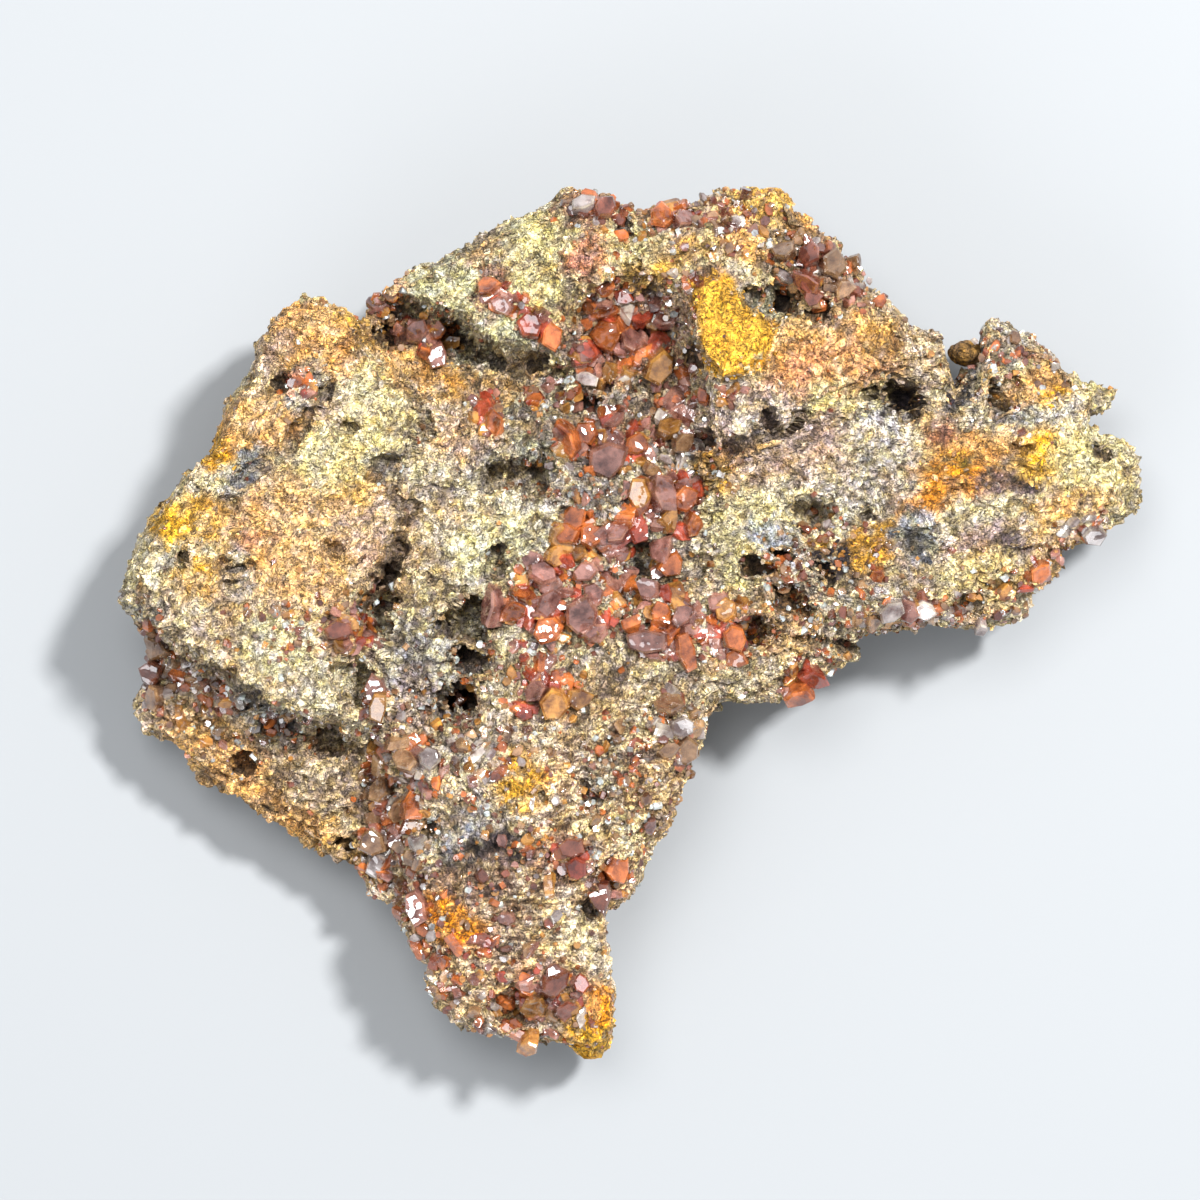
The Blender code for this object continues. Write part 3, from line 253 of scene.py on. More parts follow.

# Stains on the rock, and a few patches of painted light and shade, later ones over earlier: place, half
# length, half width, turn, colour, strength.
STAINS_AND_PAINTED_LIGHT = [
    (52.0, 90.0, 13.0, 18.0, 0, PALE_TAN, 0.6), (63.0, 50.0, 12.0, 18.0, 0, GREY, 0.4),
    # The pale tan at 16.0, 69.0 is partly painted light: it brightens the west shelf where the slab shades
    # it.
    (16.0, 69.0, 6.0, 8.0, 0, PALE_TAN, 0.6), (36.0, 82.0, 7.0, 9.0, 0, PALE_TAN, 0.5),
    (28.0, 50.0, 20.0, 24.0, 30, CREAM, 0.6), (31.0, 33.5, 5.6, 4.2, -30, ORANGE_TAN, 0.75),
    (26.5, 35.2, 2.8, 2.5, 0, PINK_BROWN, 0.5), (35.6, 32.4, 1.4, 3.2, 35, YELLOW, 0.55),
    (30.0, 29.0, 2.4, 1.2, -20, STRAW, 0.8), (26.0, 42.4, 5.8, 3.6, 20, ORANGE_TAN, 0.75),
    (21.0, 45.0, 2.0, 1.7, 0, YELLOW, 0.9), (16.8, 52.3, 2.2, 2.0, 0, YELLOW, 0.95),
    (20.6, 52.0, 2.6, 2.4, 0, BRIGHT_YELLOW, 0.95), (19.8, 57.7, 2.3, 1.7, 0, YELLOW, 0.9),
    (25.4, 49.5, 1.3, 1.3, 0, RED_BROWN, 0.5), (30.0, 54.0, 9.0, 6.5, 0, ORANGE_TAN, 0.65),
    (37.5, 53.0, 3.6, 5.4, 0, PINK_BROWN, 0.45), (24.6, 46.8, 2.4, 1.3, 35, BLUE_GREY, 0.75),
    (38.2, 46.6, 2.6, 1.3, 0, GREY, 0.7), (35.2, 41.5, 2.8, 2.2, 0, PINK_BROWN, 0.6),
    (30.8, 39.2, 2.4, 2.2, 0, GREY, 0.7), (29.9, 37.8, 1.1, 1.0, 0, SALMON, 0.8),
    (23.6, 58.2, 1.9, 2.4, -40, GREY, 0.7), (26.0, 54.5, 1.6, 1.1, 0, SALMON, 0.5),
    (24.0, 63.0, 8.0, 4.0, -30, TAN, 0.45), (34.4, 63.2, 2.6, 2.4, 0, RED_BROWN, 0.6),
    (27.0, 64.2, 3.2, 2.2, 0, PALE_GREEN, 0.5), (38.0, 41.0, 3.4, 5.0, 0, STRAW, 0.6),
    (35.6, 48.6, 2.6, 2.2, 0, YELLOW, 0.4), (33.4, 46.0, 3.0, 3.0, 0, STRAW, 0.6),
    # The pale tan at 14.6, 67.0 is partly painted light too, on the same shaded shelf.
    (14.6, 67.0, 3.4, 6.0, 0, PALE_TAN, 0.6), (14.0, 61.5, 3.2, 1.6, 0, GREY, 0.6),
    (20.0, 69.0, 4.0, 2.2, -35, BROWN, 0.15), (26.0, 72.0, 4.5, 2.0, -25, BLUE_GREY, 0.55),
    (22.0, 78.0, 8.0, 4.5, -38, ORANGE_TAN, 0.9), (31.0, 78.5, 4.8, 3.8, 0, TAN, 0.5),
    (26.0, 81.0, 8.0, 2.4, -30, ORANGE_TAN, 0.9), (32.0, 74.0, 3.0, 2.0, 0, BROWN, 0.4),
    (36.4, 80.0, 3.4, 7.0, 0, TAN, 0.4), (40.0, 84.0, 3.6, 8.0, 0, TAN, 0.4),
    (34.0, 86.0, 3.4, 2.6, -30, OCHRE, 0.5), (50.0, 28.0, 10.0, 6.0, 25, PALE_GREEN, 0.9),
    (50.9, 26.4, 1.5, 2.4, 20, WHITE, 0.7), (55.0, 26.5, 4.2, 6.0, 0, STRAW, 0.8),
    (59.0, 25.4, 1.8, 2.9, -15, SALMON, 0.9), (48.0, 24.0, 2.4, 1.6, 25, BROWN, 0.6),
    (49.0, 28.6, 1.7, 2.6, -20, RED_BROWN, 0.7), (42.0, 30.0, 3.0, 2.4, 0, PALE_GREEN, 0.7),
    (59.0, 20.6, 3.6, 1.8, 0, RED_BROWN, 0.7), (37.4, 29.3, 2.6, 1.7, 20, SALMON, 0.8),
    (39.0, 32.6, 3.0, 2.4, 0, BROWN, 0.7), (42.4, 34.0, 2.6, 1.8, 0, RED_BROWN, 0.7),
    (42.0, 37.0, 4.6, 2.8, -35, ORANGE_TAN, 0.8), (48.0, 38.6, 4.4, 1.8, -10, OCHRE, 0.5),
    (67.0, 26.0, 3.8, 1.8, 10, OCHRE, 0.6), (64.2, 27.6, 2.8, 1.8, 10, YELLOW, 0.45),
    (63.0, 23.0, 3.0, 3.0, 0, STRAW, 0.45), (77.0, 19.8, 4.0, 2.6, 0, YELLOW, 0.6),
    (74.6, 24.2, 2.8, 2.0, 0, ORANGE_TAN, 0.8), (81.0, 22.6, 2.6, 2.2, 0, ORANGE_TAN, 0.8),
    (70.0, 21.0, 3.2, 2.2, 0, TAN, 0.8), (66.0, 21.0, 2.6, 1.6, 0, RED_BROWN, 0.6),
    (83.0, 27.6, 4.4, 3.4, -30, BROWN, 0.8), (76.6, 30.6, 2.0, 2.3, 0, GREY_GREEN, 0.9),
    (80.6, 33.0, 2.4, 1.6, 0, OCHRE, 0.6), (71.2, 28.6, 2.6, 1.4, 0, BROWN, 0.7),
    (84.0, 35.4, 6.8, 4.0, 15, ORANGE_TAN, 0.8), (84.6, 36.2, 5.6, 2.8, 15, SALMON, 0.35),
    (88.0, 33.8, 2.4, 1.8, 0, OCHRE, 0.5), (79.0, 38.4, 3.6, 2.2, 30, SALMON, 0.4),
    (84.8, 40.3, 4.8, 2.1, 12, STRAW, 1.0), (82.6, 43.6, 3.4, 1.9, 15, PINK_BROWN, 0.7),
    (75.0, 42.6, 4.4, 3.8, 30, PINK_BROWN, 0.7), (79.4, 46.6, 3.4, 2.4, 0, PINK_BROWN, 0.6),
    (88.2, 43.4, 3.4, 3.0, 0, PALE_GREY, 0.9), (88.6, 47.0, 3.2, 2.6, 0, BLUE_GREY, 0.45),
    # The black at 90.7, 39.6 is painted shade in the deep pit there.
    (90.6, 35.4, 2.2, 2.0, 0, BROWN, 0.45), (90.7, 39.6, 2.2, 2.4, 0, BLACK, 0.8),
    (96.0, 39.6, 1.9, 2.1, 0, BLACK, 0.85), (92.6, 37.6, 2.0, 1.4, 0, BROWN, 0.6),
    (103.0, 41.4, 3.4, 1.4, -10, BLUE_GREY, 0.7), (98.0, 41.4, 2.4, 1.4, 0, GREY, 0.6),
    (99.0, 45.0, 6.0, 1.9, -8, ORANGE_TAN, 0.9), (95.7, 47.6, 3.6, 2.3, 10, GOLDEN, 1.0),
    (92.4, 50.8, 2.8, 1.6, 20, ORANGE, 0.9), (87.3, 54.4, 3.4, 2.4, 30, OCHRE, 0.95),
    (96.4, 46.6, 1.4, 1.0, 0, OCHRE, 0.7), (101.4, 48.4, 2.7, 2.2, 0, PURPLE_BROWN, 0.95),
    (102.6, 47.6, 1.3, 1.1, 0, BLACK, 0.8), (104.9, 45.6, 3.0, 2.2, 0, YELLOW, 0.95),
    (103.6, 38.6, 3.6, 1.5, 20, ORANGE_TAN, 1.0), (106.4, 39.6, 1.6, 1.2, 0, YELLOW, 0.8),
    (105.4, 51.5, 3.4, 1.4, 15, YELLOW, 0.8), (91.5, 53.8, 2.6, 2.4, 0, BLUE_GREY, 0.9),
    (92.0, 54.4, 1.4, 1.2, 0, BLACK, 0.5), (83.2, 56.0, 2.6, 2.2, 0, BLACK, 0.85),
    (81.7, 53.9, 1.0, 0.9, 0, BRIGHT_YELLOW, 1.0), (86.0, 60.0, 2.2, 1.2, 0, GREY_GREEN, 0.5),
    (99.0, 53.0, 4.0, 3.0, 0, CREAM, 0.7), (98.6, 54.6, 5.0, 1.8, 15, PINK_BROWN, 0.8),
    (100.6, 54.6, 2.0, 1.1, 10, BLACK, 0.6), (94.6, 43.4, 1.8, 1.4, 0, RED_BROWN, 0.7),
    (103.0, 35.2, 1.6, 1.0, 0, RED_BROWN, 0.8), (99.6, 34.8, 1.4, 2.6, 20, BLACK, 0.6),
    (93.0, 34.6, 2.2, 2.8, 0, PALE_TAN, 0.6), (86.0, 50.0, 4.6, 3.0, 0, GREY, 0.5),
    (100.0, 58.6, 5.0, 1.4, 15, ORANGE_TAN, 0.6), (110.0, 47.0, 4.4, 4.4, 0, STRAW, 0.7),
    (107.4, 50.0, 4.0, 1.8, 15, ORANGE_TAN, 0.5), (106.0, 55.6, 3.0, 2.2, 0, ORANGE_TAN, 0.5),
    (98.0, 58.0, 5.0, 2.6, 0, STRAW, 0.5), (110.0, 38.6, 2.4, 1.4, -30, STRAW, 0.7),
    (101.0, 33.6, 2.6, 1.8, 0, GREY, 0.7), (107.0, 40.5, 1.6, 1.2, 0, WHITE, 0.5),
    (45.0, 46.0, 5.0, 6.0, 0, GREY, 0.45), (47.0, 43.2, 3.4, 2.4, 0, SALMON, 0.25),
    (53.0, 43.4, 3.0, 3.6, 0, GREY_GREEN, 0.85), (59.2, 49.6, 2.5, 2.6, 0, GREY, 0.8),
    (43.0, 54.0, 3.6, 5.0, 0, TAN, 0.4), (50.0, 52.0, 4.4, 3.6, 0, CREAM, 0.6),
    (49.0, 55.0, 4.0, 3.0, 0, PALE_GREEN, 0.5), (42.6, 62.0, 2.2, 3.2, 0, STRAW, 0.6),
    (42.6, 67.4, 4.4, 5.0, 0, GREY, 0.8), (41.0, 70.0, 2.2, 3.0, 0, PINK_BROWN, 0.5),
    (56.8, 36.9, 1.2, 1.5, 0, STRAW, 0.95), (62.0, 33.6, 5.6, 4.6, 0, RED_BROWN, 0.65),
    (61.0, 43.6, 5.4, 3.0, 0, BROWN, 0.55), (66.6, 41.0, 2.8, 3.4, 0, TAN, 0.6),
    (71.2, 46.9, 2.1, 2.1, 0, OCHRE, 0.9), (74.4, 51.6, 4.6, 3.2, 0, STRAW, 0.5),
    (77.4, 53.6, 2.8, 2.0, 0, BLUE_GREY, 0.7), (73.4, 56.8, 2.0, 2.0, 0, STRAW, 0.8),
    (78.6, 62.6, 3.4, 2.6, -20, ORANGE_TAN, 0.5), (80.0, 50.4, 3.0, 2.4, 0, CREAM, 0.5),
    (49.4, 91.0, 5.0, 5.0, 0, TAN, 0.5), (51.4, 78.0, 2.9, 2.5, 0, BRIGHT_YELLOW, 1.0),
    (60.4, 77.2, 3.0, 2.6, 0, GREY, 0.8), (46.8, 83.8, 4.0, 2.6, 30, BLUE_GREY, 1.0),
    (50.0, 85.2, 3.0, 2.2, 20, BLACK, 0.9), (46.0, 86.2, 2.2, 1.4, 30, BLACK, 0.6),
    (46.2, 88.6, 4.0, 2.2, 10, PURPLE_BROWN, 0.7), (50.4, 92.6, 2.6, 4.4, 10, PURPLE_BROWN, 0.5),
    (45.4, 92.2, 3.2, 2.0, -35, GOLDEN, 1.0), (58.8, 104.0, 3.2, 4.0, 20, YELLOW, 1.0),
    (59.9, 100.4, 1.6, 2.0, 0, GOLDEN, 0.8), (54.6, 99.6, 3.4, 3.0, 0, RED_BROWN, 0.6),
    (62.4, 83.4, 3.0, 2.2, 0, CREAM, 0.7), (46.2, 67.6, 2.6, 3.0, 20, GREY, 0.7),
    (66.0, 79.0, 3.0, 5.0, 20, TAN, 0.7), (55.6, 69.6, 3.6, 3.6, 0, BROWN, 0.5),
    (60.4, 70.0, 2.6, 3.6, 0, TAN, 0.5), (47.6, 75.0, 3.4, 3.0, 0, GREY, 0.5),
    (46.0, 98.4, 3.4, 3.4, 0, TAN, 0.6), (57.6, 94.0, 2.6, 3.0, 0, CREAM, 0.4),
    # The pale grey at 75.6, 42.0 is partly painted light: it brightens the grey dome where the trench shades
    # it.
    (75.6, 42.0, 2.8, 2.4, 0, PALE_GREY, 0.4), (56.0, 86.0, 2.6, 2.6, 0, RED_BROWN, 0.5),
    (60.6, 88.4, 2.4, 2.6, 0, RED_BROWN, 0.5),
]
# Mottling all over: wavelength of the patches, how high its noise has to be, colour and strength.
MOTTLES = [
    (4.2, 0.25, ORANGE_TAN, 0.50), (3.2, 0.30, PINK_BROWN, 0.50), (3.6, 0.30, GREY, 0.45),
    (2.6, 0.30, STRAW, 0.55), (2.2, 0.42, BROWN, 0.45), (3.0, 0.45, WHITE, 0.35),
]
SPECKLE = 0.90
SPECKLED_BELOW = 0.50                   # stains darker than this are broken up into specks
STAIN_STRENGTH = 1.3
YELLOW_PLATE_FALL = 0.4
WARPS = [(3.2, 0.9), (1.1, 0.45)]
SIDE_WAVE, SIDE_WANDER = 5.0, 6.0       # how stains wander on steep sides: wavelength and how far
SIDE_COLOUR = (0.670, 0.470, 0.245)

# ---- crystals, as their solids give them ----

MAUVE = (0.400, 0.170, 0.130)
RED = (0.500, 0.075, 0.035)
ORANGE_RED = (0.580, 0.150, 0.038)
AMBER = (0.600, 0.260, 0.060)
DARK_RED = (0.270, 0.075, 0.042)
CLEAR_BROWN = (0.400, 0.210, 0.105)
SMOKE = (0.480, 0.380, 0.340)
THICKNESS = 1.15
STAND = 0.22
# Each cluster's tints, which its crystals take in turn, and its crystals: a, b, length, width, turn,
# lean and bearing.
CLUSTERS = {
    "north_vein_crystals": ((RED, ORANGE_RED, MAUVE, AMBER), [
        (58.5, 35.2, 3.5, 2.8, 90, 15, 180), (60.6, 33.6, 3.6, 3.2, 20, 10, 90),
        (62.9, 33.9, 3.0, 2.6, 70, 20, 45), (66.0, 36.2, 3.8, 3.0, 60, 18, 300),
        (64.2, 31.4, 3.2, 2.6, 0, 12, 100), (60.4, 30.9, 3.4, 2.6, 15, 16, 120),
        (66.6, 31.6, 3.0, 2.2, 40, 15, 60)]),
    "cavern_crystal": ((SMOKE,), [(58.6, 37.6, 2.5, 1.7, -15, 8, 270)]),
    "middle_vein_crystals": ((ORANGE_RED, MAUVE, MAUVE, ORANGE_RED), [
        (56.8, 43.9, 4.6, 2.7, -52, 20, 200), (61.2, 42.2, 3.0, 2.0, 10, 22, 90),
        (61.0, 45.6, 4.2, 3.8, 0, 10, 260), (63.6, 44.4, 2.8, 2.4, 60, 14, 20),
        (58.6, 43.4, 3.0, 2.8, 30, 10, 150)]),
    "east_vein_crystals": ((CLEAR_BROWN, AMBER), [
        (68.4, 44.0, 2.8, 2.4, 20, 15, 330), (66.9, 42.7, 2.8, 2.4, 50, 18, 60)]),
    "window_crystals": ((AMBER, MAUVE, ORANGE_RED, ORANGE_RED), [
        (64.2, 49.6, 4.0, 2.5, 90, 12, 185), (66.2, 49.4, 4.4, 3.0, 90, 25, 20),
        (68.3, 50.0, 3.1, 2.9, 10, 14, 0), (69.4, 52.4, 3.0, 2.0, 85, 16, 330)]),
    "saddle_crystals_north": ((MAUVE, ORANGE_RED), [
        (61.8, 53.3, 3.3, 2.9, 30, 15, 120), (56.6, 53.4, 3.2, 2.4, -20, 18, 150),
        (58.8, 57.0, 3.2, 2.4, 25, 15, 200), (59.2, 53.6, 2.8, 2.4, 60, 12, 90)]),
    "pentagon_crystals": ((MAUVE, ORANGE_RED), [
        (66.2, 54.5, 3.4, 3.2, 20, 14, 240), (67.0, 56.2, 3.8, 2.6, 42, 15, 300)]),
    "saddle_plate": ((MAUVE, ORANGE_RED), [
        (49.4, 60.4, 5.0, 2.6, 86, 35, 190), (51.1, 61.2, 3.2, 2.6, 10, 15, 330)]),
    "saddle_crystals_west": ((MAUVE, ORANGE_RED), [
        (58.3, 61.5, 5.0, 4.2, 50, 8, 250), (55.0, 63.0, 3.4, 2.8, 40, 12, 200),
        (59.6, 63.2, 3.2, 2.8, 20, 10, 310)]),
    "orange_egg_crystals": ((AMBER, MAUVE), [
        (55.6, 70.2, 3.8, 3.1, 80, 15, 260), (53.8, 69.0, 2.8, 2.4, 30, 20, 170),
        (57.8, 69.8, 3.0, 2.4, -10, 18, 340)]),
    "saddle_crystals_east": ((MAUVE, ORANGE_RED, MAUVE, ORANGE_RED), [
        (64.8, 64.2, 4.4, 2.9, 0, 14, 190), (66.2, 61.4, 2.8, 2.2, 20, 18, 110),
        (68.2, 61.7, 3.0, 2.0, 48, 20, 60), (68.6, 65.2, 4.3, 2.2, -72, 16, 340)]),
    "bright_red_crystals": ((ORANGE_RED, AMBER), [
        (73.6, 63.5, 2.8, 3.0, 20, 10, 280), (72.8, 61.4, 2.8, 2.4, 60, 20, 130),
        (73.8, 65.6, 2.6, 2.4, 10, 18, 260)]),
    "south_rim_crystals": ((RED, ORANGE_RED), [
        (81.4, 67.7, 3.2, 3.0, 20, 30, 300), (79.8, 69.4, 3.6, 2.6, 40, 35, 280)]),
    "north_ridge_crystals": ((ORANGE_RED, MAUVE, RED), [
        (48.9, 28.6, 2.6, 2.4, 30, 15, 140), (50.4, 30.4, 2.8, 2.2, -40, 16, 200),
        (53.0, 32.6, 3.0, 2.4, -35, 12, 60), (55.0, 33.6, 3.0, 2.4, -60, 16, 330)]),
    "hollow_crystals": ((MAUVE, ORANGE_RED), [
        (41.4, 33.0, 2.8, 2.6, 20, 10, 90), (43.2, 33.0, 2.8, 2.6, -20, 12, 60),
        (43.4, 35.0, 2.8, 2.4, 40, 18, 300)]),
    "top_rim_druse": ((SMOKE, DARK_RED), [
        (58.5, 20.6, 2.8, 2.4, 10, 20, 110), (60.4, 21.0, 3.0, 2.6, 30, 18, 60)]),
    "ridge_top_druse": ((ORANGE_RED, MAUVE), [
        (66.4, 21.8, 2.6, 2.4, 0, 18, 120), (68.4, 22.0, 2.8, 2.4, 30, 16, 60)]),
    "north_east_druse": ((CLEAR_BROWN, DARK_RED), [
        (78.4, 25.2, 2.8, 2.4, 20, 15, 130), (80.8, 25.6, 3.0, 2.6, 50, 12, 90),
        (83.4, 26.6, 3.2, 2.8, 10, 16, 40), (80.6, 28.2, 3.4, 2.6, -20, 14, 240),
        (84.2, 28.8, 2.8, 2.4, 30, 18, 320)]),
    "west_shelf_druse": ((CLEAR_BROWN, DARK_RED), [
        (14.9, 65.4, 3.0, 2.4, -30, 20, 150), (14.6, 67.6, 3.0, 2.4, 60, 18, 180),
        (14.8, 69.9, 3.0, 2.4, 80, 25, 200)]),
    "gully_crystals": ((MAUVE, AMBER), [
        (37.7, 68.9, 3.2, 2.2, 85, 16, 180), (37.7, 70.5, 3.4, 2.4, 80, 16, 270)]),
    "south_west_druse": ((CLEAR_BROWN, ORANGE_RED), [
        (39.8, 81.0, 3.2, 2.8, 40, 15, 250), (41.2, 80.7, 3.4, 3.0, 80, 12, 20),
        (37.8, 79.4, 3.2, 2.8, 70, 20, 160)]),
    "upper_south_west_druse": ((CLEAR_BROWN, SMOKE), [
        (40.5, 76.2, 3.2, 2.4, -40, 18, 120), (42.6, 76.0, 2.8, 2.6, 10, 15, 60)]),
    "lower_south_west_druse": ((CLEAR_BROWN, SMOKE), [
        (37.2, 84.4, 3.4, 2.8, -60, 18, 200), (37.4, 86.8, 3.0, 2.4, 60, 16, 220)]),
    "barrel_crystal": ((MAUVE,), [(41.6, 90.6, 4.0, 2.8, -65, 20, 230)]),
    "east_slope_druse": ((CLEAR_BROWN, SMOKE), [
        (67.0, 70.6, 3.0, 2.6, 20, 15, 120), (68.0, 72.8, 3.0, 2.6, 60, 18, 0),
        (68.4, 75.0, 3.0, 2.4, 60, 25, 320)]),
    "dark_red_crystals": ((DARK_RED, RED), [
        (57.2, 84.9, 2.8, 2.6, 10, 12, 200), (57.6, 86.9, 2.6, 2.2, 70, 15, 280)]),
    "south_edge_crystals": ((DARK_RED, ORANGE_RED), [
        (60.2, 89.4, 3.8, 2.6, 80, 20, 250), (61.5, 87.1, 3.4, 2.6, 20, 25, 330)]),
    "brown_bead_crystal": ((MAUVE,), [(64.9, 82.6, 2.2, 1.8, 80, 15, 300)]),
    "south_pocket_crystals": ((DARK_RED, AMBER), [
        (55.4, 98.7, 4.0, 3.2, 60, 16, 60), (53.5, 101.0, 3.8, 2.5, 35, 18, 240),
        (56.4, 101.3, 3.0, 2.4, 0, 14, 320)]),
    "south_rim_prism": ((AMBER,), [(52.7, 104.8, 3.2, 2.0, 62, 40, 265)]),
    "red_hollow_crystals": ((RED, ORANGE_RED), [
        (48.4, 40.7, 2.8, 2.6, 30, 14, 180), (49.2, 42.2, 3.0, 2.2, -65, 20, 340)]),
    "slab_edge_crystal": ((DARK_RED,), [(33.9, 63.3, 3.2, 2.4, 10, 10, 90)]),
    "orange_east_crystal": ((ORANGE_RED,), [(104.4, 57.0, 2.6, 2.2, 70, 18, 280)]),
    "east_lobe_bead": ((ORANGE_RED,), [(87.9, 57.5, 1.9, 1.7, 30, 15, 250)]),
    "east_rim_crystals": ((SMOKE, MAUVE), [
        (89.2, 61.1, 2.8, 2.4, 20, 14, 270), (90.9, 61.0, 2.8, 2.6, 80, 14, 270),
        (92.6, 60.9, 3.0, 2.4, 10, 15, 280)]),
    "east_rim_prism": ((SMOKE,), [(98.5, 62.6, 2.2, 1.6, 80, 38, 275)]),
    "east_tip_crystals": ((SMOKE,), [(109.6, 53.2, 3.0, 2.2, 35, 25, 290)]),
}

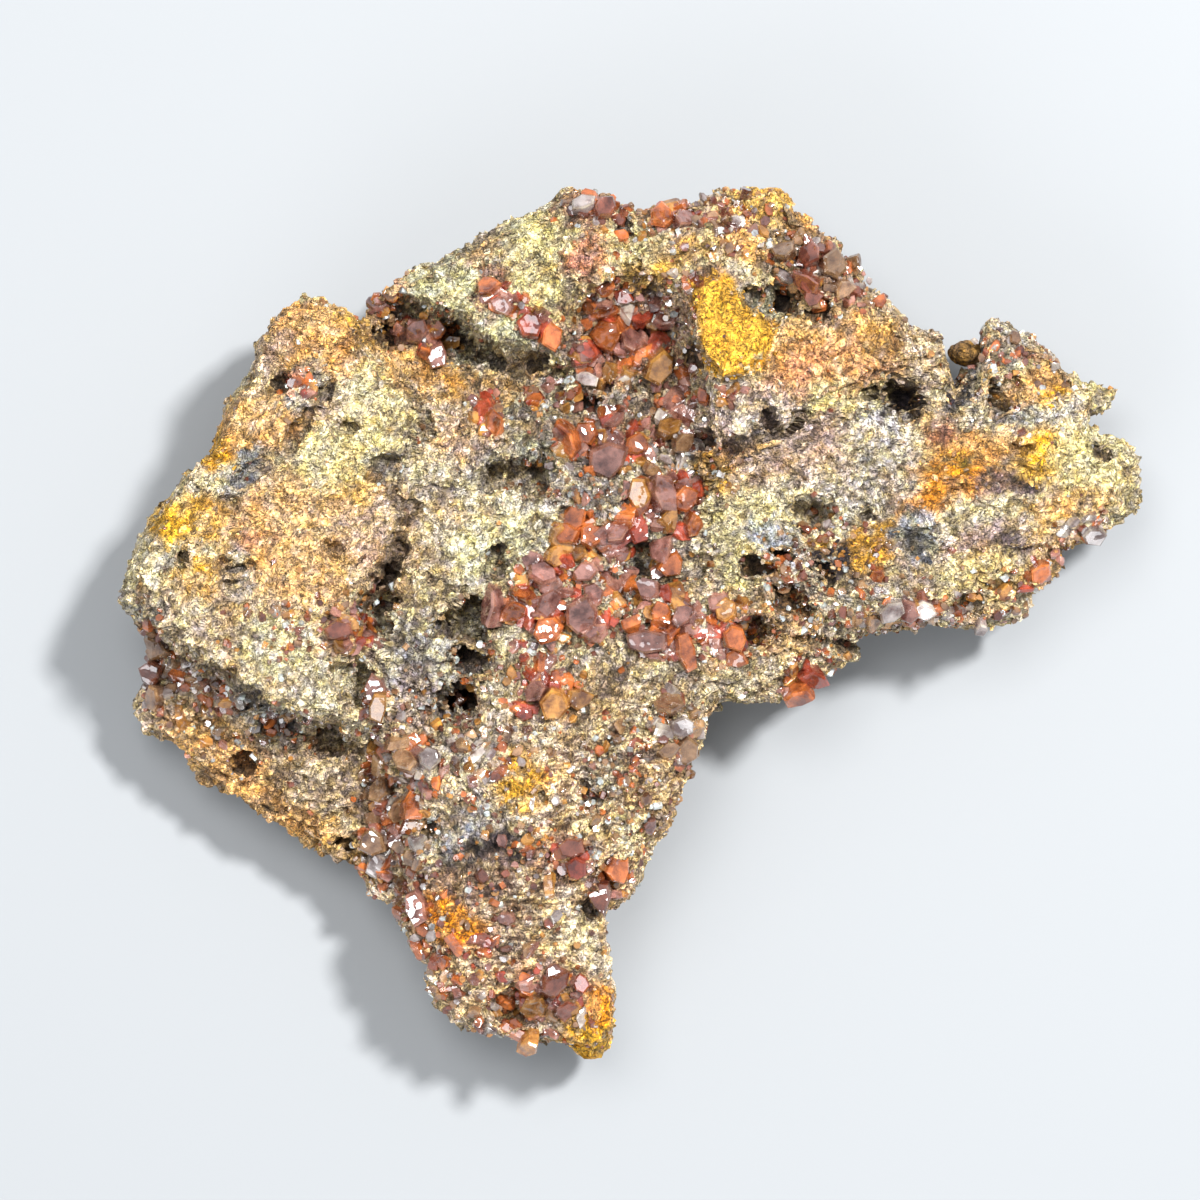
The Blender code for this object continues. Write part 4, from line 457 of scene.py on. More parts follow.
# Beds of small crystals: place, half length, half width, turn, count, smallest and largest width, tints.
VEIN_TINTS = (ORANGE_RED, MAUVE, RED, AMBER, MAUVE)
DRUSE_TINTS = (CLEAR_BROWN, DARK_RED, SMOKE, ORANGE_RED)
BED_MARGIN = 0.2                        # how far inside the outline the beds' crystals keep
SCATTER_TINTS = (CLEAR_BROWN, DARK_RED, AMBER, ORANGE_RED, MAUVE, SMOKE)
BEDS = {
    "vein_bed_north": [
        (62.4, 33.4, 5.6, 4.6, 10, 90, 0.8, 2.4, VEIN_TINTS),
        (67.6, 38.8, 2.4, 3.6, 0, 26, 0.8, 2.0, VEIN_TINTS),
        (52.0, 31.0, 4.6, 1.5, -38, 34, 0.7, 2.0, VEIN_TINTS),
        (62.0, 29.8, 3.4, 1.8, 0, 28, 0.7, 1.8, DRUSE_TINTS)],
    "vein_bed_middle": [
        (60.6, 44.0, 5.2, 3.2, -10, 60, 0.8, 2.4, VEIN_TINTS),
        (66.6, 44.4, 3.4, 3.0, 0, 34, 0.7, 1.8, DRUSE_TINTS),
        (55.4, 39.8, 3.0, 2.0, 0, 20, 0.7, 2.0, VEIN_TINTS),
        (48.8, 41.0, 1.8, 2.6, 10, 18, 0.7, 1.8, VEIN_TINTS),
        (66.4, 49.8, 4.0, 3.4, 0, 36, 0.8, 2.2, VEIN_TINTS)],
    "vein_bed_south": [
        (60.0, 53.6, 5.0, 2.6, 0, 50, 0.8, 2.6, VEIN_TINTS),
        (57.0, 59.6, 6.4, 4.6, 0, 120, 0.8, 2.6, VEIN_TINTS),
        (66.6, 62.4, 3.6, 3.4, 0, 50, 0.8, 2.4, VEIN_TINTS),
        (73.0, 63.0, 3.0, 3.2, 0, 34, 0.8, 2.2, VEIN_TINTS),
        (55.0, 70.0, 3.4, 2.6, 0, 26, 0.7, 2.2, VEIN_TINTS),
        (53.0, 66.4, 4.0, 2.2, 0, 26, 0.6, 1.6, VEIN_TINTS)],
    "druse_bed_north": [
        (81.4, 27.0, 5.0, 3.4, -25, 80, 0.6, 1.8, DRUSE_TINTS),
        (60.0, 20.8, 3.6, 1.6, 0, 34, 0.6, 1.6, DRUSE_TINTS),
        (67.0, 21.4, 3.0, 1.4, 0, 26, 0.6, 1.6, VEIN_TINTS),
        (68.0, 28.6, 2.2, 1.4, 0, 22, 0.6, 1.6, DRUSE_TINTS),
        (73.0, 21.6, 2.4, 1.6, 0, 20, 0.6, 1.4, DRUSE_TINTS),
        (42.0, 33.2, 2.8, 2.0, 0, 30, 0.6, 1.8, VEIN_TINTS),
        (38.0, 29.6, 2.2, 1.6, 20, 24, 0.6, 1.6, VEIN_TINTS),
        (72.6, 39.4, 2.4, 1.2, 20, 16, 0.6, 1.6, VEIN_TINTS)],
    "druse_bed_west": [
        (14.8, 67.0, 1.8, 5.0, 0, 60, 0.6, 1.7, DRUSE_TINTS),
        (20.6, 69.0, 4.4, 1.6, -35, 46, 0.6, 1.6, DRUSE_TINTS),
        (28.4, 72.8, 3.0, 1.6, -20, 26, 0.6, 1.5, DRUSE_TINTS),
        (35.0, 62.8, 2.6, 2.4, 0, 34, 0.6, 1.6, VEIN_TINTS),
        (27.0, 61.0, 2.2, 1.2, 0, 12, 0.5, 1.1, DRUSE_TINTS),
        (30.2, 38.6, 1.4, 1.2, 0, 10, 0.5, 1.4, VEIN_TINTS)],
    "druse_bed_south_west": [
        (39.0, 78.4, 3.4, 3.6, 0, 60, 0.6, 1.8, DRUSE_TINTS),
        (38.6, 85.4, 3.0, 4.6, 0, 70, 0.6, 1.8, DRUSE_TINTS),
        (37.6, 70.4, 1.4, 3.6, 0, 26, 0.6, 1.6, DRUSE_TINTS),
        (41.0, 92.0, 1.8, 3.6, 20, 30, 0.6, 1.6, DRUSE_TINTS),
        (44.0, 98.0, 1.6, 3.6, 20, 24, 0.6, 1.5, DRUSE_TINTS)],
    "druse_bed_south": [
        (67.6, 72.6, 2.2, 4.0, 10, 50, 0.6, 1.8, DRUSE_TINTS),
        (55.0, 99.6, 3.6, 2.8, 0, 46, 0.6, 2.0, VEIN_TINTS),
        (57.4, 86.0, 2.2, 2.4, 0, 22, 0.6, 1.6, VEIN_TINTS),
        (61.2, 88.6, 2.2, 2.6, 0, 28, 0.6, 1.7, VEIN_TINTS),
        (48.0, 75.6, 4.2, 2.6, 0, 34, 0.5, 1.3, DRUSE_TINTS),
        (48.0, 96.4, 3.6, 2.6, 0, 26, 0.5, 1.4, VEIN_TINTS),
        (63.0, 76.0, 3.0, 3.6, 0, 26, 0.5, 1.3, DRUSE_TINTS)],
    "scattered_crystals": [
        (49.0, 93.0, 8.0, 10.0, 0, 50, 0.5, 1.7, SCATTER_TINTS),
        (56.0, 80.0, 10.0, 6.0, 0, 40, 0.5, 1.4, SCATTER_TINTS),
        (46.0, 74.0, 8.0, 6.0, 0, 40, 0.5, 1.5, SCATTER_TINTS),
        (39.5, 82.0, 3.6, 9.0, 0, 90, 0.6, 1.9, SCATTER_TINTS),
        (70.0, 22.0, 9.0, 3.4, 0, 60, 0.5, 1.4, SCATTER_TINTS),
        (31.0, 63.0, 6.0, 2.6, 20, 36, 0.4, 1.0, SCATTER_TINTS),
        (20.0, 71.0, 7.0, 3.0, -35, 50, 0.5, 1.4, SCATTER_TINTS),
        (101.0, 37.0, 5.0, 3.0, 0, 20, 0.4, 1.0, SCATTER_TINTS),
        (94.0, 61.0, 9.0, 1.8, 5, 40, 0.6, 1.7, SCATTER_TINTS),
        (83.0, 58.0, 6.0, 5.0, 0, 34, 0.4, 1.1, SCATTER_TINTS),
        (63.0, 47.0, 8.0, 12.0, 0, 90, 0.5, 1.5, SCATTER_TINTS),
        (53.0, 102.0, 6.0, 3.0, 0, 36, 0.6, 1.8, SCATTER_TINTS),
        (86.0, 27.6, 4.0, 3.0, 0, 30, 0.5, 1.5, SCATTER_TINTS),
        (109.0, 54.0, 3.4, 1.6, 30, 20, 0.5, 1.3, SCATTER_TINTS)],
    "druse_bed_east": [
        (91.0, 62.0, 5.4, 1.3, 5, 44, 0.6, 1.6, DRUSE_TINTS),
        (80.6, 67.6, 3.2, 2.2, 40, 36, 0.6, 1.9, VEIN_TINTS),
        (109.0, 53.0, 3.0, 1.6, 30, 22, 0.5, 1.4, DRUSE_TINTS),
        (100.0, 34.6, 2.6, 2.0, 0, 18, 0.5, 1.3, DRUSE_TINTS),
        (82.4, 52.4, 2.4, 1.6, 0, 16, 0.5, 1.3, DRUSE_TINTS),
        (78.6, 57.4, 2.0, 1.6, 0, 14, 0.5, 1.4, DRUSE_TINTS),
        (104.0, 57.6, 2.4, 1.6, 0, 16, 0.5, 1.3, VEIN_TINTS)],
}

GRAIN_PIECES = 3
GRAINS_EACH = 8000
GRAIN_SMALL, GRAIN_LARGE = 0.16, 0.60
FLAKE_TILT = 0.55
# The white sparks are painted glints: tiny crystals tinted white.
SPARK_TINTS = (CLEAR_BROWN, DARK_RED, CLEAR_BROWN, AMBER, ORANGE_RED, WHITE)
SPARK_COUNT = 4600
SPARK_SMALL, SPARK_LARGE = 0.16, 0.42


# ---- numbers and fields ----

HASH, HASH_SEED, HASH_SPREAD = (127.1, 311.7, 74.7), 41.3, 43758.5453
NUMBER_SEED = 9                         # sets a lump's own number apart from its centre's
NEVER_ZERO = 1e-12


def smooth_step(value):
    """0 below 0, 1 above 1, and the smooth curve 3v^2 - 2v^3 between."""
    value = np.clip(value, 0.0, 1.0)
    return value * value * (3.0 - 2.0 * value)


def mixed(before, after, share):
    """Before where the share is 0, after where it is 1, and something of both between."""
    return before * (1 - share) + after * share


def unit(ways):
    return ways / np.maximum(np.linalg.norm(ways, axis=-1, keepdims=True), NEVER_ZERO)


def on_sheet(points):
    """The places on the sheet, a and b, that points lie over."""
    return points[:, 0] + SHEET_CENTRE[0], SHEET_CENTRE[1] - points[:, 1]


def off_sheet(a, b):
    """How far to the east and north of the origin places on the sheet lie."""
    return np.column_stack([a - SHEET_CENTRE[0], SHEET_CENTRE[1] - b])


def lattice(column, row, seed):
    """A repeatable number from 0 to 1 for each cell corner of an endless grid."""
    wave = np.sin(column * HASH[0] + row * HASH[1] + seed * HASH[2]) * HASH_SPREAD
    return wave - np.floor(wave)


def value_noise(a, b, wavelength, seed):
    """Smoothly blended lattice numbers, from -1 to 1."""
    column, row = np.floor(a / wavelength), np.floor(b / wavelength)
    across = smooth_step(a / wavelength - column)
    down = smooth_step(b / wavelength - row)
    upper = mixed(lattice(column, row, seed), lattice(column + 1, row, seed), across)
    lower = mixed(lattice(column, row + 1, seed), lattice(column + 1, row + 1, seed), across)
    return 2.0 * mixed(upper, lower, down) - 1.0


def scatter(cells, seed):
    """A repeatable number from 0 to 1 for each cell of a grid in space."""
    wave = np.sin(cells @ HASH + seed * HASH_SEED) * HASH_SPREAD
    return wave - np.floor(wave)


def space_noise(points, wavelength, seed):
    """Smoothly blended numbers of the cells around each point, from -1 to 1."""
    cell = np.floor(points / wavelength)
    part = smooth_step(points / wavelength - cell)
    total = np.zeros(len(points))
    for corner in np.ndindex(2, 2, 2):
        share = np.prod(np.where(np.array(corner) == 1, part, 1 - part), axis=1)
        total += share * scatter(cell + corner, seed)
    return 2.0 * total - 1.0


def space_wander(points, wavelength, seed):
    """Three noises for each point, one for each way that it may be moved."""
    return np.stack([space_noise(points, wavelength, seed + axis) for axis in range(3)], axis=1)


def lump_field(points, size, seed):
    """How far each point is from the crevice round its lump, as a share of the size, and the lump's number.

    Each cell of the size holds one lump centre at a scattered place. The first is the distance to the
    second nearest centre less that to the nearest.
    """
    cell = np.floor(points / size)
    first = np.full(len(points), np.inf)
    second = np.full(len(points), np.inf)
    lump = np.zeros(len(points))
    for step in np.ndindex(3, 3, 3):
        near = cell + np.array(step) - 1
        centre = near + np.stack([scatter(near, seed + axis) for axis in range(3)], axis=1)
        far = np.linalg.norm(points / size - centre, axis=1)
        lump = np.where(far < first, scatter(near, seed + NUMBER_SEED), lump)
        second = np.minimum(second, np.maximum(far, first))
        first = np.minimum(first, far)
    return second - first, lump


def depth_inside(a, b, corners):
    """Distance from each place to the edge of a polygon: over 0 inside it, and below 0 outside."""
    nearest = np.full(a.shape, np.inf)
    inside = np.zeros(a.shape, bool)
    for (a1, b1), (a2, b2) in zip(corners, corners[1:] + corners[:1]):
        nearest = np.minimum(nearest, distance_to_run(a, b, (a1, b1), (a2, b2)))
        if b1 != b2:
            inside ^= ((b1 > b) != (b2 > b)) & (a < (a2 - a1) * (b - b1) / (b2 - b1) + a1)
    return np.where(inside, nearest, -nearest)


def distance_to_run(a, b, start, end):
    """Distance from each place to the straight run from start to end."""
    along_a, along_b = end[0] - start[0], end[1] - start[1]
    share = ((a - start[0]) * along_a + (b - start[1]) * along_b) / math.dist(start, end) ** 2
    share = np.clip(share, 0, 1)
    return np.hypot(a - start[0] - share * along_a, b - start[1] - share * along_b)


def oval(a, b, at_a, at_b, half_length, half_width, turn):
    """How far out each place is from an oval's centre: 0 there and 1 on its edge."""
    along = math.radians(turn)
    right, down = a - at_a, b - at_b
    length = right * math.cos(along) - down * math.sin(along)
    width = right * math.sin(along) + down * math.cos(along)
    return np.hypot(length / half_length, width / half_width)


# ---- the rock ----

# How far out each kind of form reaches, where 1 is the edge of its oval or the width of its crack.
LUMP_REACH = 1.3
PIT_SHADE_REACH = 1.1
HOLE_REACH = 1.25
CRACK_REACH = 1.6
ROUGH_REACH = 1.6
FIBRE_REACH = 1.5
PIT_SLOPE = 0.8                         # a pit falls to its full depth over this share of its size
HOLE_STEEPNESS = 1.6                    # and a hole over 1 / HOLE_STEEPNESS of its size
DARK_DEPTH = 3.6                        # the depth at which the hollow number is 1
STREAK_TURN = 60                        # fibres that run at less than this angle also streak the colour
LUMP_WANDER, LUMP_FINE = (1.6, 0.85), (0.8, 0.40)       # how lumps wander: wavelength and how far
FIBRE_SWELL = 0.4                       # how much the first of them raises and lowers the fibres
NOTCH_WEST_END, NOTCH_WEST_FADE = 96.9, 0.8
# Seeds of the noises.
KNOB_SEED, RAGGED_SEEDS, CRUMBLE_SEED, WANDER_SEED, FINE_SEED = 7, (20, 25), 30, 31, 34
FIBRE_SEED, PIT_SEED, LUMP_SEED, LUMP_SEED_STEP = 40, 45, 50, 20


def with_lumps(height, a, b, lumps):
    """The height with lumps laid on it, each highest in its middle."""
    for *place, tall in lumps:
        height = height + tall * smooth_step(LUMP_REACH - oval(a, b, *place))
    return height


def pit_wander(a, b):
    """How far the edges of pits and holes wander at each place, as a share of their size."""
    return sum(far * value_noise(a, b, wavelength, seed + PIT_SEED)
               for seed, (wavelength, far) in enumerate(PIT_WANDER))


def rock_height(a, b):
    """Height of the rock's top over the resting face: the solid's plates, unevenness, lumps and pits."""
    height = np.full(a.shape, GROUND)
    for level, rise_right, rise_down, soft, corners in PLATES.values():
        middle = np.mean(corners, axis=0)
        face = level + rise_right * (a - middle[0]) + rise_down * (b - middle[1])
        height = mixed(height, face, smooth_step(0.5 + depth_inside(a, b, corners) / (2 * soft)))
    for seed, (wavelength, tall) in enumerate(ROUGHNESS):
        height = height + tall * value_noise(a, b, wavelength, seed)
    height = with_lumps(height, a, b, LUMPS)
    wander = pit_wander(a, b)
    for *place, deep in PITS:
        inside = (PIT_EDGE - oval(a, b, *place) - wander) / PIT_SLOPE
        height = height - PIT_SHARE * deep * smooth_step(inside)
    return height


def ragged(a, b):
    """The places, moved a little to and fro, so that whatever is drawn there gets a ragged edge."""
    moved_a, moved_b = a, b
    for seed, (wavelength, far) in enumerate(RAGGED):
        moved_a = moved_a + far * value_noise(a, b, wavelength, seed + RAGGED_SEEDS[0])
        moved_b = moved_b + far * value_noise(a, b, wavelength, seed + RAGGED_SEEDS[1])
    return moved_a, moved_b


def deepest_pit(a, b):
    """How far inside a pit each place is: 0 outside them and 1 in the middle."""
    wander = pit_wander(a, b)
    inside = [smooth_step(PIT_SHADE_REACH - oval(a, b, *place) - wander) for *place, _ in PITS]
    return np.max(inside, axis=0)


def streak_at(points):
    """How fibrous the rock's colour is at each place: 1 in the middle of the fibres that run north-east."""
    a, b = on_sheet(points)
    share = [smooth_step(FIBRE_REACH - oval(a, b, *place)) for *place, way, _ in FIBRES if way < STREAK_TURN]
    return np.max(share, axis=0)


def small_hollows(a, b):
    """How deep the small holes and cracks are at each place, whose edges wander."""
    deep = np.zeros(a.shape)
    wander = pit_wander(a, b)
    for *place, depth in HOLES:
        inside = (HOLE_REACH - oval(a, b, *place) - wander) * HOLE_STEEPNESS
        deep = np.maximum(deep, depth * smooth_step(inside))
    for wide, depth, line in CRACKS:
        for start, end in zip(line, line[1:]):
            near = distance_to_run(a, b, start, end)
            deep = np.maximum(deep, depth * smooth_step(CRACK_REACH - near / wide))
    return deep


def roughness_at(a, b):
    """How rough the rock is: 1, or what a place says, blended in over its edge."""
    rough = np.ones(a.shape)
    for *place, value in ROUGH_PLACES:
        rough = mixed(rough, value, smooth_step(ROUGH_REACH - oval(a, b, *place)))
    return rough


def fibre_height(a, b):
    """Height of the fibres: noise drawn out along the way that they run."""
    height = np.zeros(a.shape)
    for *place, way, tall in FIBRES:
        along, across = math.cos(math.radians(way)), math.sin(math.radians(way))
        run, side = a * along - b * across, a * across + b * along
        share = smooth_step(FIBRE_REACH - oval(a, b, *place))
        height = height + tall * share * value_noise(run / FIBRE_LONG, side / FIBRE_WIDE, 1.0, FIBRE_SEED)
    return height


def outline_lines(share):
    """The outline at each share of its whole length, from 0 to 1, and the same with its wiggles smoothed."""
    corners = np.array(OUTLINE + OUTLINE[:1]) @ (1, 1j)
    run = np.concatenate([[0.0], np.cumsum(np.abs(np.diff(corners)))])
    steps = np.arange(OUTLINE_STEPS) / OUTLINE_STEPS
    line = np.interp(steps, run / run[-1], corners)
    waves = np.fft.fftfreq(OUTLINE_STEPS, 1 / OUTLINE_STEPS)
    smooth = np.fft.ifft(np.fft.fft(line) * np.exp(-(waves / WAVES_KEPT) ** 2))
    found = [np.interp(share, steps, curve, period=1.0) for curve in (line, smooth)]
    return [np.stack([curve.real, curve.imag], axis=1) for curve in found]


def notch_shift(a, b):
    """How far southwards the rock's edge is drawn back at each place, which makes the notch: full depth
    between its walls, and less and less inland."""
    west, west_end, east, east_end = NOTCH_WALLS
    deep = NOTCH_DEPTH + NOTCH_WEST_DEPTH * smooth_step((NOTCH_WEST_END - a) / NOTCH_WEST_FADE)
    walls = smooth_step((a - west) / (west_end - west)) * smooth_step((east_end - a) / (east_end - east))
    return deep * walls * np.clip((NOTCH_TO - b) / (NOTCH_TO - NOTCH_FROM), 0, 1)


def rock_points(u, v, down):
    """Points of the rock, in millimetres on the sheet and up: u and v run over the top from -1 to 1,
    and down runs from the top's edge, 0, to the foot, 1, as in the solid."""
    ring = np.maximum(np.abs(u), np.abs(v))
    right, up = u / np.maximum(ring, NEVER_ZERO), v / np.maximum(ring, NEVER_ZERO)
    level = np.abs(u) < np.abs(v)
    side = np.where(v > 0, (right + 1) / 2, 2 + (1 - right) / 2)
    side = np.where(level, side, np.where(u > 0, 1 + (1 - up) / 2, 3 + (up + 1) / 2))
    line, smooth = outline_lines(side / 4 % 1.0)
    bulge = RIM + (1 - RIM) * smooth_step(down / WAIST_AT)
    taper = 1 - (1 - FOOT) * np.clip((down - WAIST_AT) / (1 - WAIST_AT), 0, 1) ** TAPER
    knobs = value_noise(line[:, 0], line[:, 1] + SIDE_KNOB_RUN * down, SIDE_KNOB, KNOB_SEED)
    knobs = knobs * np.sin(math.pi * down) * SIDE_ROUGHNESS
    share = np.where(down > 0, np.minimum(bulge, taper) * (1 + knobs), RIM)[:, None]
    wiggles = smooth_step((ring - WIGGLES_FROM) / (1 - WIGGLES_FROM))[:, None]
    places = HEART + share * (ring[:, None] * (smooth - HEART) + wiggles * (line - smooth))
    places[:, 1] += notch_shift(places[:, 0], places[:, 1])
    edges = ragged(places[:, 0], places[:, 1])
    top = rock_height(*edges) * (1 - RIM_DROP * smooth_step((ring - RIM_FROM) / (1 - RIM_FROM)))
    top = top + with_lumps(np.zeros(len(top)), *edges, SMALL_LUMPS) - small_hollows(*edges)
    return np.column_stack([places, top * (1 - down)])


def rock_grid():
    """u, v and down of every point, and the faces: a square of cells on top, whose rim runs down in
    SIDE_ROWS rows to the foot, where one point closes it."""
    side = TOP_CELLS + 1
    line = np.linspace(-1.0, 1.0, side)
    v, u = (grid.ravel() for grid in np.meshgrid(line, line, indexing="ij"))
    index = np.arange(side * side).reshape(side, side)
    top = np.stack([index[:-1, :-1], index[:-1, 1:], index[1:, 1:], index[1:, :-1]], axis=-1).reshape(-1, 4)
    rim = np.concatenate([index[0, :-1], index[:-1, -1], index[-1, :0:-1], index[:0:-1, 0]])
    rows = np.arange(SIDE_ROWS) * len(rim) + side * side
    ring = np.vstack([rim, rows[:, None] + np.arange(len(rim))])
    after = np.roll(ring, -1, axis=1)
    walls = np.stack([ring[:-1], ring[1:], after[1:], after[:-1]], axis=-1).reshape(-1, 4)
    foot = side * side + SIDE_ROWS * len(rim)
    under = np.stack([ring[-1], np.full(len(rim), foot), after[-1]], axis=-1)
    down = np.repeat(np.linspace(0, 1, SIDE_ROWS + 1)[1:], len(rim))
    u = np.concatenate([u, np.tile(u[rim], SIDE_ROWS), [0.0]])
    v = np.concatenate([v, np.tile(v[rim], SIDE_ROWS), [0.0]])
    down = np.concatenate([np.zeros(side * side), down, [1.0]])
    return u, v, down, np.vstack([top, walls]), under


def triangles(quads, extra):
    """Four-sided faces, each cut in two, with further triangles after them."""
    return np.vstack([quads[:, [0, 1, 2]], quads[:, [0, 2, 3]], extra])


def face_normals(points, faces):
    """The outward direction of each face, as long as twice its area."""
    return np.cross(points[faces[:, 1]] - points[faces[:, 0]], points[faces[:, 2]] - points[faces[:, 0]])


def point_normals(points, faces):
    """The outward direction at each point: the mean of its faces', weighted by their size."""
    across = face_normals(points, faces)
    return unit(np.stack([np.bincount(faces.ravel(), np.repeat(across[:, axis], 3), len(points))
                          for axis in range(3)], axis=1))


def surface_relief(points):
    """How far the rock stands proud of its smooth form at each point: lumps with crevices between
    them, crumble and fibres, all more or less as the place is rough."""
    a, b = on_sheet(points)
    (wavelength, far), (fine_wavelength, fine_far) = LUMP_WANDER, LUMP_FINE
    wander = space_wander(points, wavelength, WANDER_SEED)
    fine = space_wander(points, fine_wavelength, FINE_SEED)
    moved = points + far * wander + fine_far * fine
    relief = np.zeros(len(points))
    for seed, (size, deep, wide, vary) in enumerate(LUMP_SIZES):
        inside, lump_number = lump_field(moved, size, LUMP_SEED + LUMP_SEED_STEP * seed)
        lump = smooth_step(inside / wide)
        relief += vary * (lump_number - 0.5) * lump - deep * (1 - lump)
    for seed, (wavelength, tall) in enumerate(CRUMBLE):
        relief += tall * space_noise(points, wavelength, seed + CRUMBLE_SEED)
    return relief * roughness_at(a, b) + fibre_height(a, b) * (1 + FIBRE_SWELL * wander[:, 0])


def shape_rock():
    """The rock's points in millimetres, up and to the north, with its faces and what its finish reads.

    The form is moved along its own outward direction by the relief, which fades out towards the foot.
    The hollow number is how deep a point lies in a hole, and sets the painted shade there; the relief number
    is how it stands on its lump, and sets the painted shade in crevices.
    """
    u, v, down, quads, under = rock_grid()
    places = rock_points(u, v, down)
    points = np.column_stack([off_sheet(places[:, 0], places[:, 1]), places[:, 2]])
    faces = triangles(quads, under)
    normals = point_normals(points, faces)
    relief = surface_relief(points)
    fade = smooth_step(points[:, 2] / FOOT_FADE)
    points = points + normals * (fade * (relief - SINK))[:, None]
    points = np.clip(points, LOW, HIGH)
    edges = ragged(places[:, 0], places[:, 1])
    # How deep each point lies in a hole or pit, which the finish turns into painted shade.
    hollow = np.maximum(small_hollows(*edges), PIT_DARK * deepest_pit(*edges)) / DARK_DEPTH
    return points, quads, under, faces, hollow, relief


# ---- stains ----

BASE_TAN_SHARE = 0.4
SPECKLE_WAVE = 0.9
STAIN_REACH, STAIN_STEEPNESS = 1.1, 1.5
BRIGHT_SPECKLE = 0.35                   # share of the speckle on stains that are bright
# The mottles go under the stains and again, smaller and weaker, over them: share of the wavelength, of
# the speckle and of the strength, and the share that is left of them on black.
MOTTLES_UNDER, MOTTLES_OVER = (1.0, 0.5, 1.0, 1.0), (0.6, 1.0, 0.30, 0.1)
MOTTLE_SOFT = 0.25
DARK_GUARD = 2.5                        # mottles are weaker on colours darker than 1 / DARK_GUARD
STEEP_FROM, STEEP_OVER, SIDE_SHARE = 0.25, 0.45, 0.70
WARP_SEEDS, SIDE_SEEDS, SPECKLE_SEED, UNDER_SEED, OVER_SEED = (60, 70), (65, 75), 90, 95, 105


def mottled(colour, points, speckle, seed, settings):
    """The colour with patches of the mottles laid on it, as the settings say."""
    shrink, speckle_share, strong, on_black = settings
    for step, (wavelength, level, stain, strength) in enumerate(MOTTLES):
        patch = space_noise(points, wavelength * shrink, step + seed) + speckle_share * speckle
        share = strong * strength * smooth_step((patch - level) / MOTTLE_SOFT)
        share = share * np.clip(DARK_GUARD * colour.max(axis=1), on_black, 1.0)
        colour = mixed(colour, np.array(stain), share[:, None])
    return colour


def stain_at(points, up):
    """Colour of the rock at points: each stain and each patch of painted light and shade is laid over those
    before it, with a ragged edge, and steep sides turn to the side colour."""
    a, b = on_sheet(points)
    for seed, (wavelength, far) in enumerate(WARPS):
        a = a + far * space_noise(points, wavelength, seed + WARP_SEEDS[0])
        b = b + far * space_noise(points, wavelength, seed + WARP_SEEDS[1])
    steep = smooth_step((STEEP_FROM - up) / STEEP_OVER)
    a = a + SIDE_WANDER * steep * space_noise(points, SIDE_WAVE, SIDE_SEEDS[0])
    b = b + SIDE_WANDER * steep * space_noise(points, SIDE_WAVE, SIDE_SEEDS[1])
    speckle = SPECKLE * space_noise(points, SPECKLE_WAVE, SPECKLE_SEED)
    colour = np.tile(mixed(np.array(CREAM), np.array(TAN), BASE_TAN_SHARE), (len(a), 1))
    colour = mottled(colour, points, speckle, UNDER_SEED, MOTTLES_UNDER)
    for *place, stain, strength in STAINS_AND_PAINTED_LIGHT:
        broken = speckle if max(stain) < SPECKLED_BELOW else BRIGHT_SPECKLE * speckle
        inside = STAIN_STEEPNESS * (STAIN_REACH - oval(a, b, *place))
        share = np.minimum(STAIN_STRENGTH * strength, 1.0) * smooth_step(0.5 + inside + broken)
        colour = mixed(colour, np.array(stain), share[:, None])
    colour = mottled(colour, points, speckle, OVER_SEED, MOTTLES_OVER)
    inside = depth_inside(a, b, PLATES["yellow_plate"][-1])
    colour = mixed(colour, np.array(BRIGHT_YELLOW), smooth_step(0.5 + inside / YELLOW_PLATE_FALL)[:, None])
    return mixed(colour, np.array(SIDE_COLOUR), SIDE_SHARE * steep[:, None])


# ---- meshes ----

def new_piece(name, points, faces, material, replaced, colours, values):
    """A mesh piece from points in millimetres. Colours and values are laid on its points."""
    mesh = bpy.data.meshes.new(name)
    loops = np.concatenate([group.ravel() for group in faces])
    sizes = np.concatenate([np.full(len(group), group.shape[1]) for group in faces])
    mesh.vertices.add(len(points))
    mesh.loops.add(len(loops))
    mesh.polygons.add(len(sizes))
    mesh.vertices.foreach_set("co", (points * MM).astype(np.float32).ravel())
    mesh.loops.foreach_set("vertex_index", loops.astype(np.int32))
    mesh.polygons.foreach_set("loop_start", (np.cumsum(sizes) - sizes).astype(np.int32))
    mesh.polygons.foreach_set("use_smooth", np.zeros(len(sizes), bool))
    mesh.update(calc_edges=True)
    for key, array in colours.items():
        layer = mesh.attributes.new(key, "FLOAT_COLOR", "POINT")
        colour = np.column_stack([array, np.ones(len(array))])
        layer.data.foreach_set("color", colour.astype(np.float32).ravel())
    for key, array in values.items():
        layer = mesh.attributes.new(key, "FLOAT", "POINT")
        layer.data.foreach_set("value", array.astype(np.float32))
    mesh.materials.append(material)
    piece = bpy.data.objects.new(name, mesh)
    bpy.context.scene.collection.objects.link(piece)
    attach(piece, "root")
    if replaced:
        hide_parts(replaced)


def closed_tube(rings, sides):
    """Faces of rings of corners, the first ring at the foot, closed by one more corner at the foot and
    one at the tip: the four-sided faces of the wall, and the triangles of both ends."""
    ring = np.arange(rings * sides).reshape(rings, sides)
    after = np.roll(ring, -1, axis=1)
    walls = np.stack([ring[:-1], after[:-1], after[1:], ring[1:]], axis=-1).reshape(-1, 4)
    under = np.stack([np.full(sides, ring.size), after[0], ring[0]], axis=-1)
    over = np.stack([np.full(sides, ring.size + 1), ring[-1], after[-1]], axis=-1)
    return walls, np.vstack([under, over])


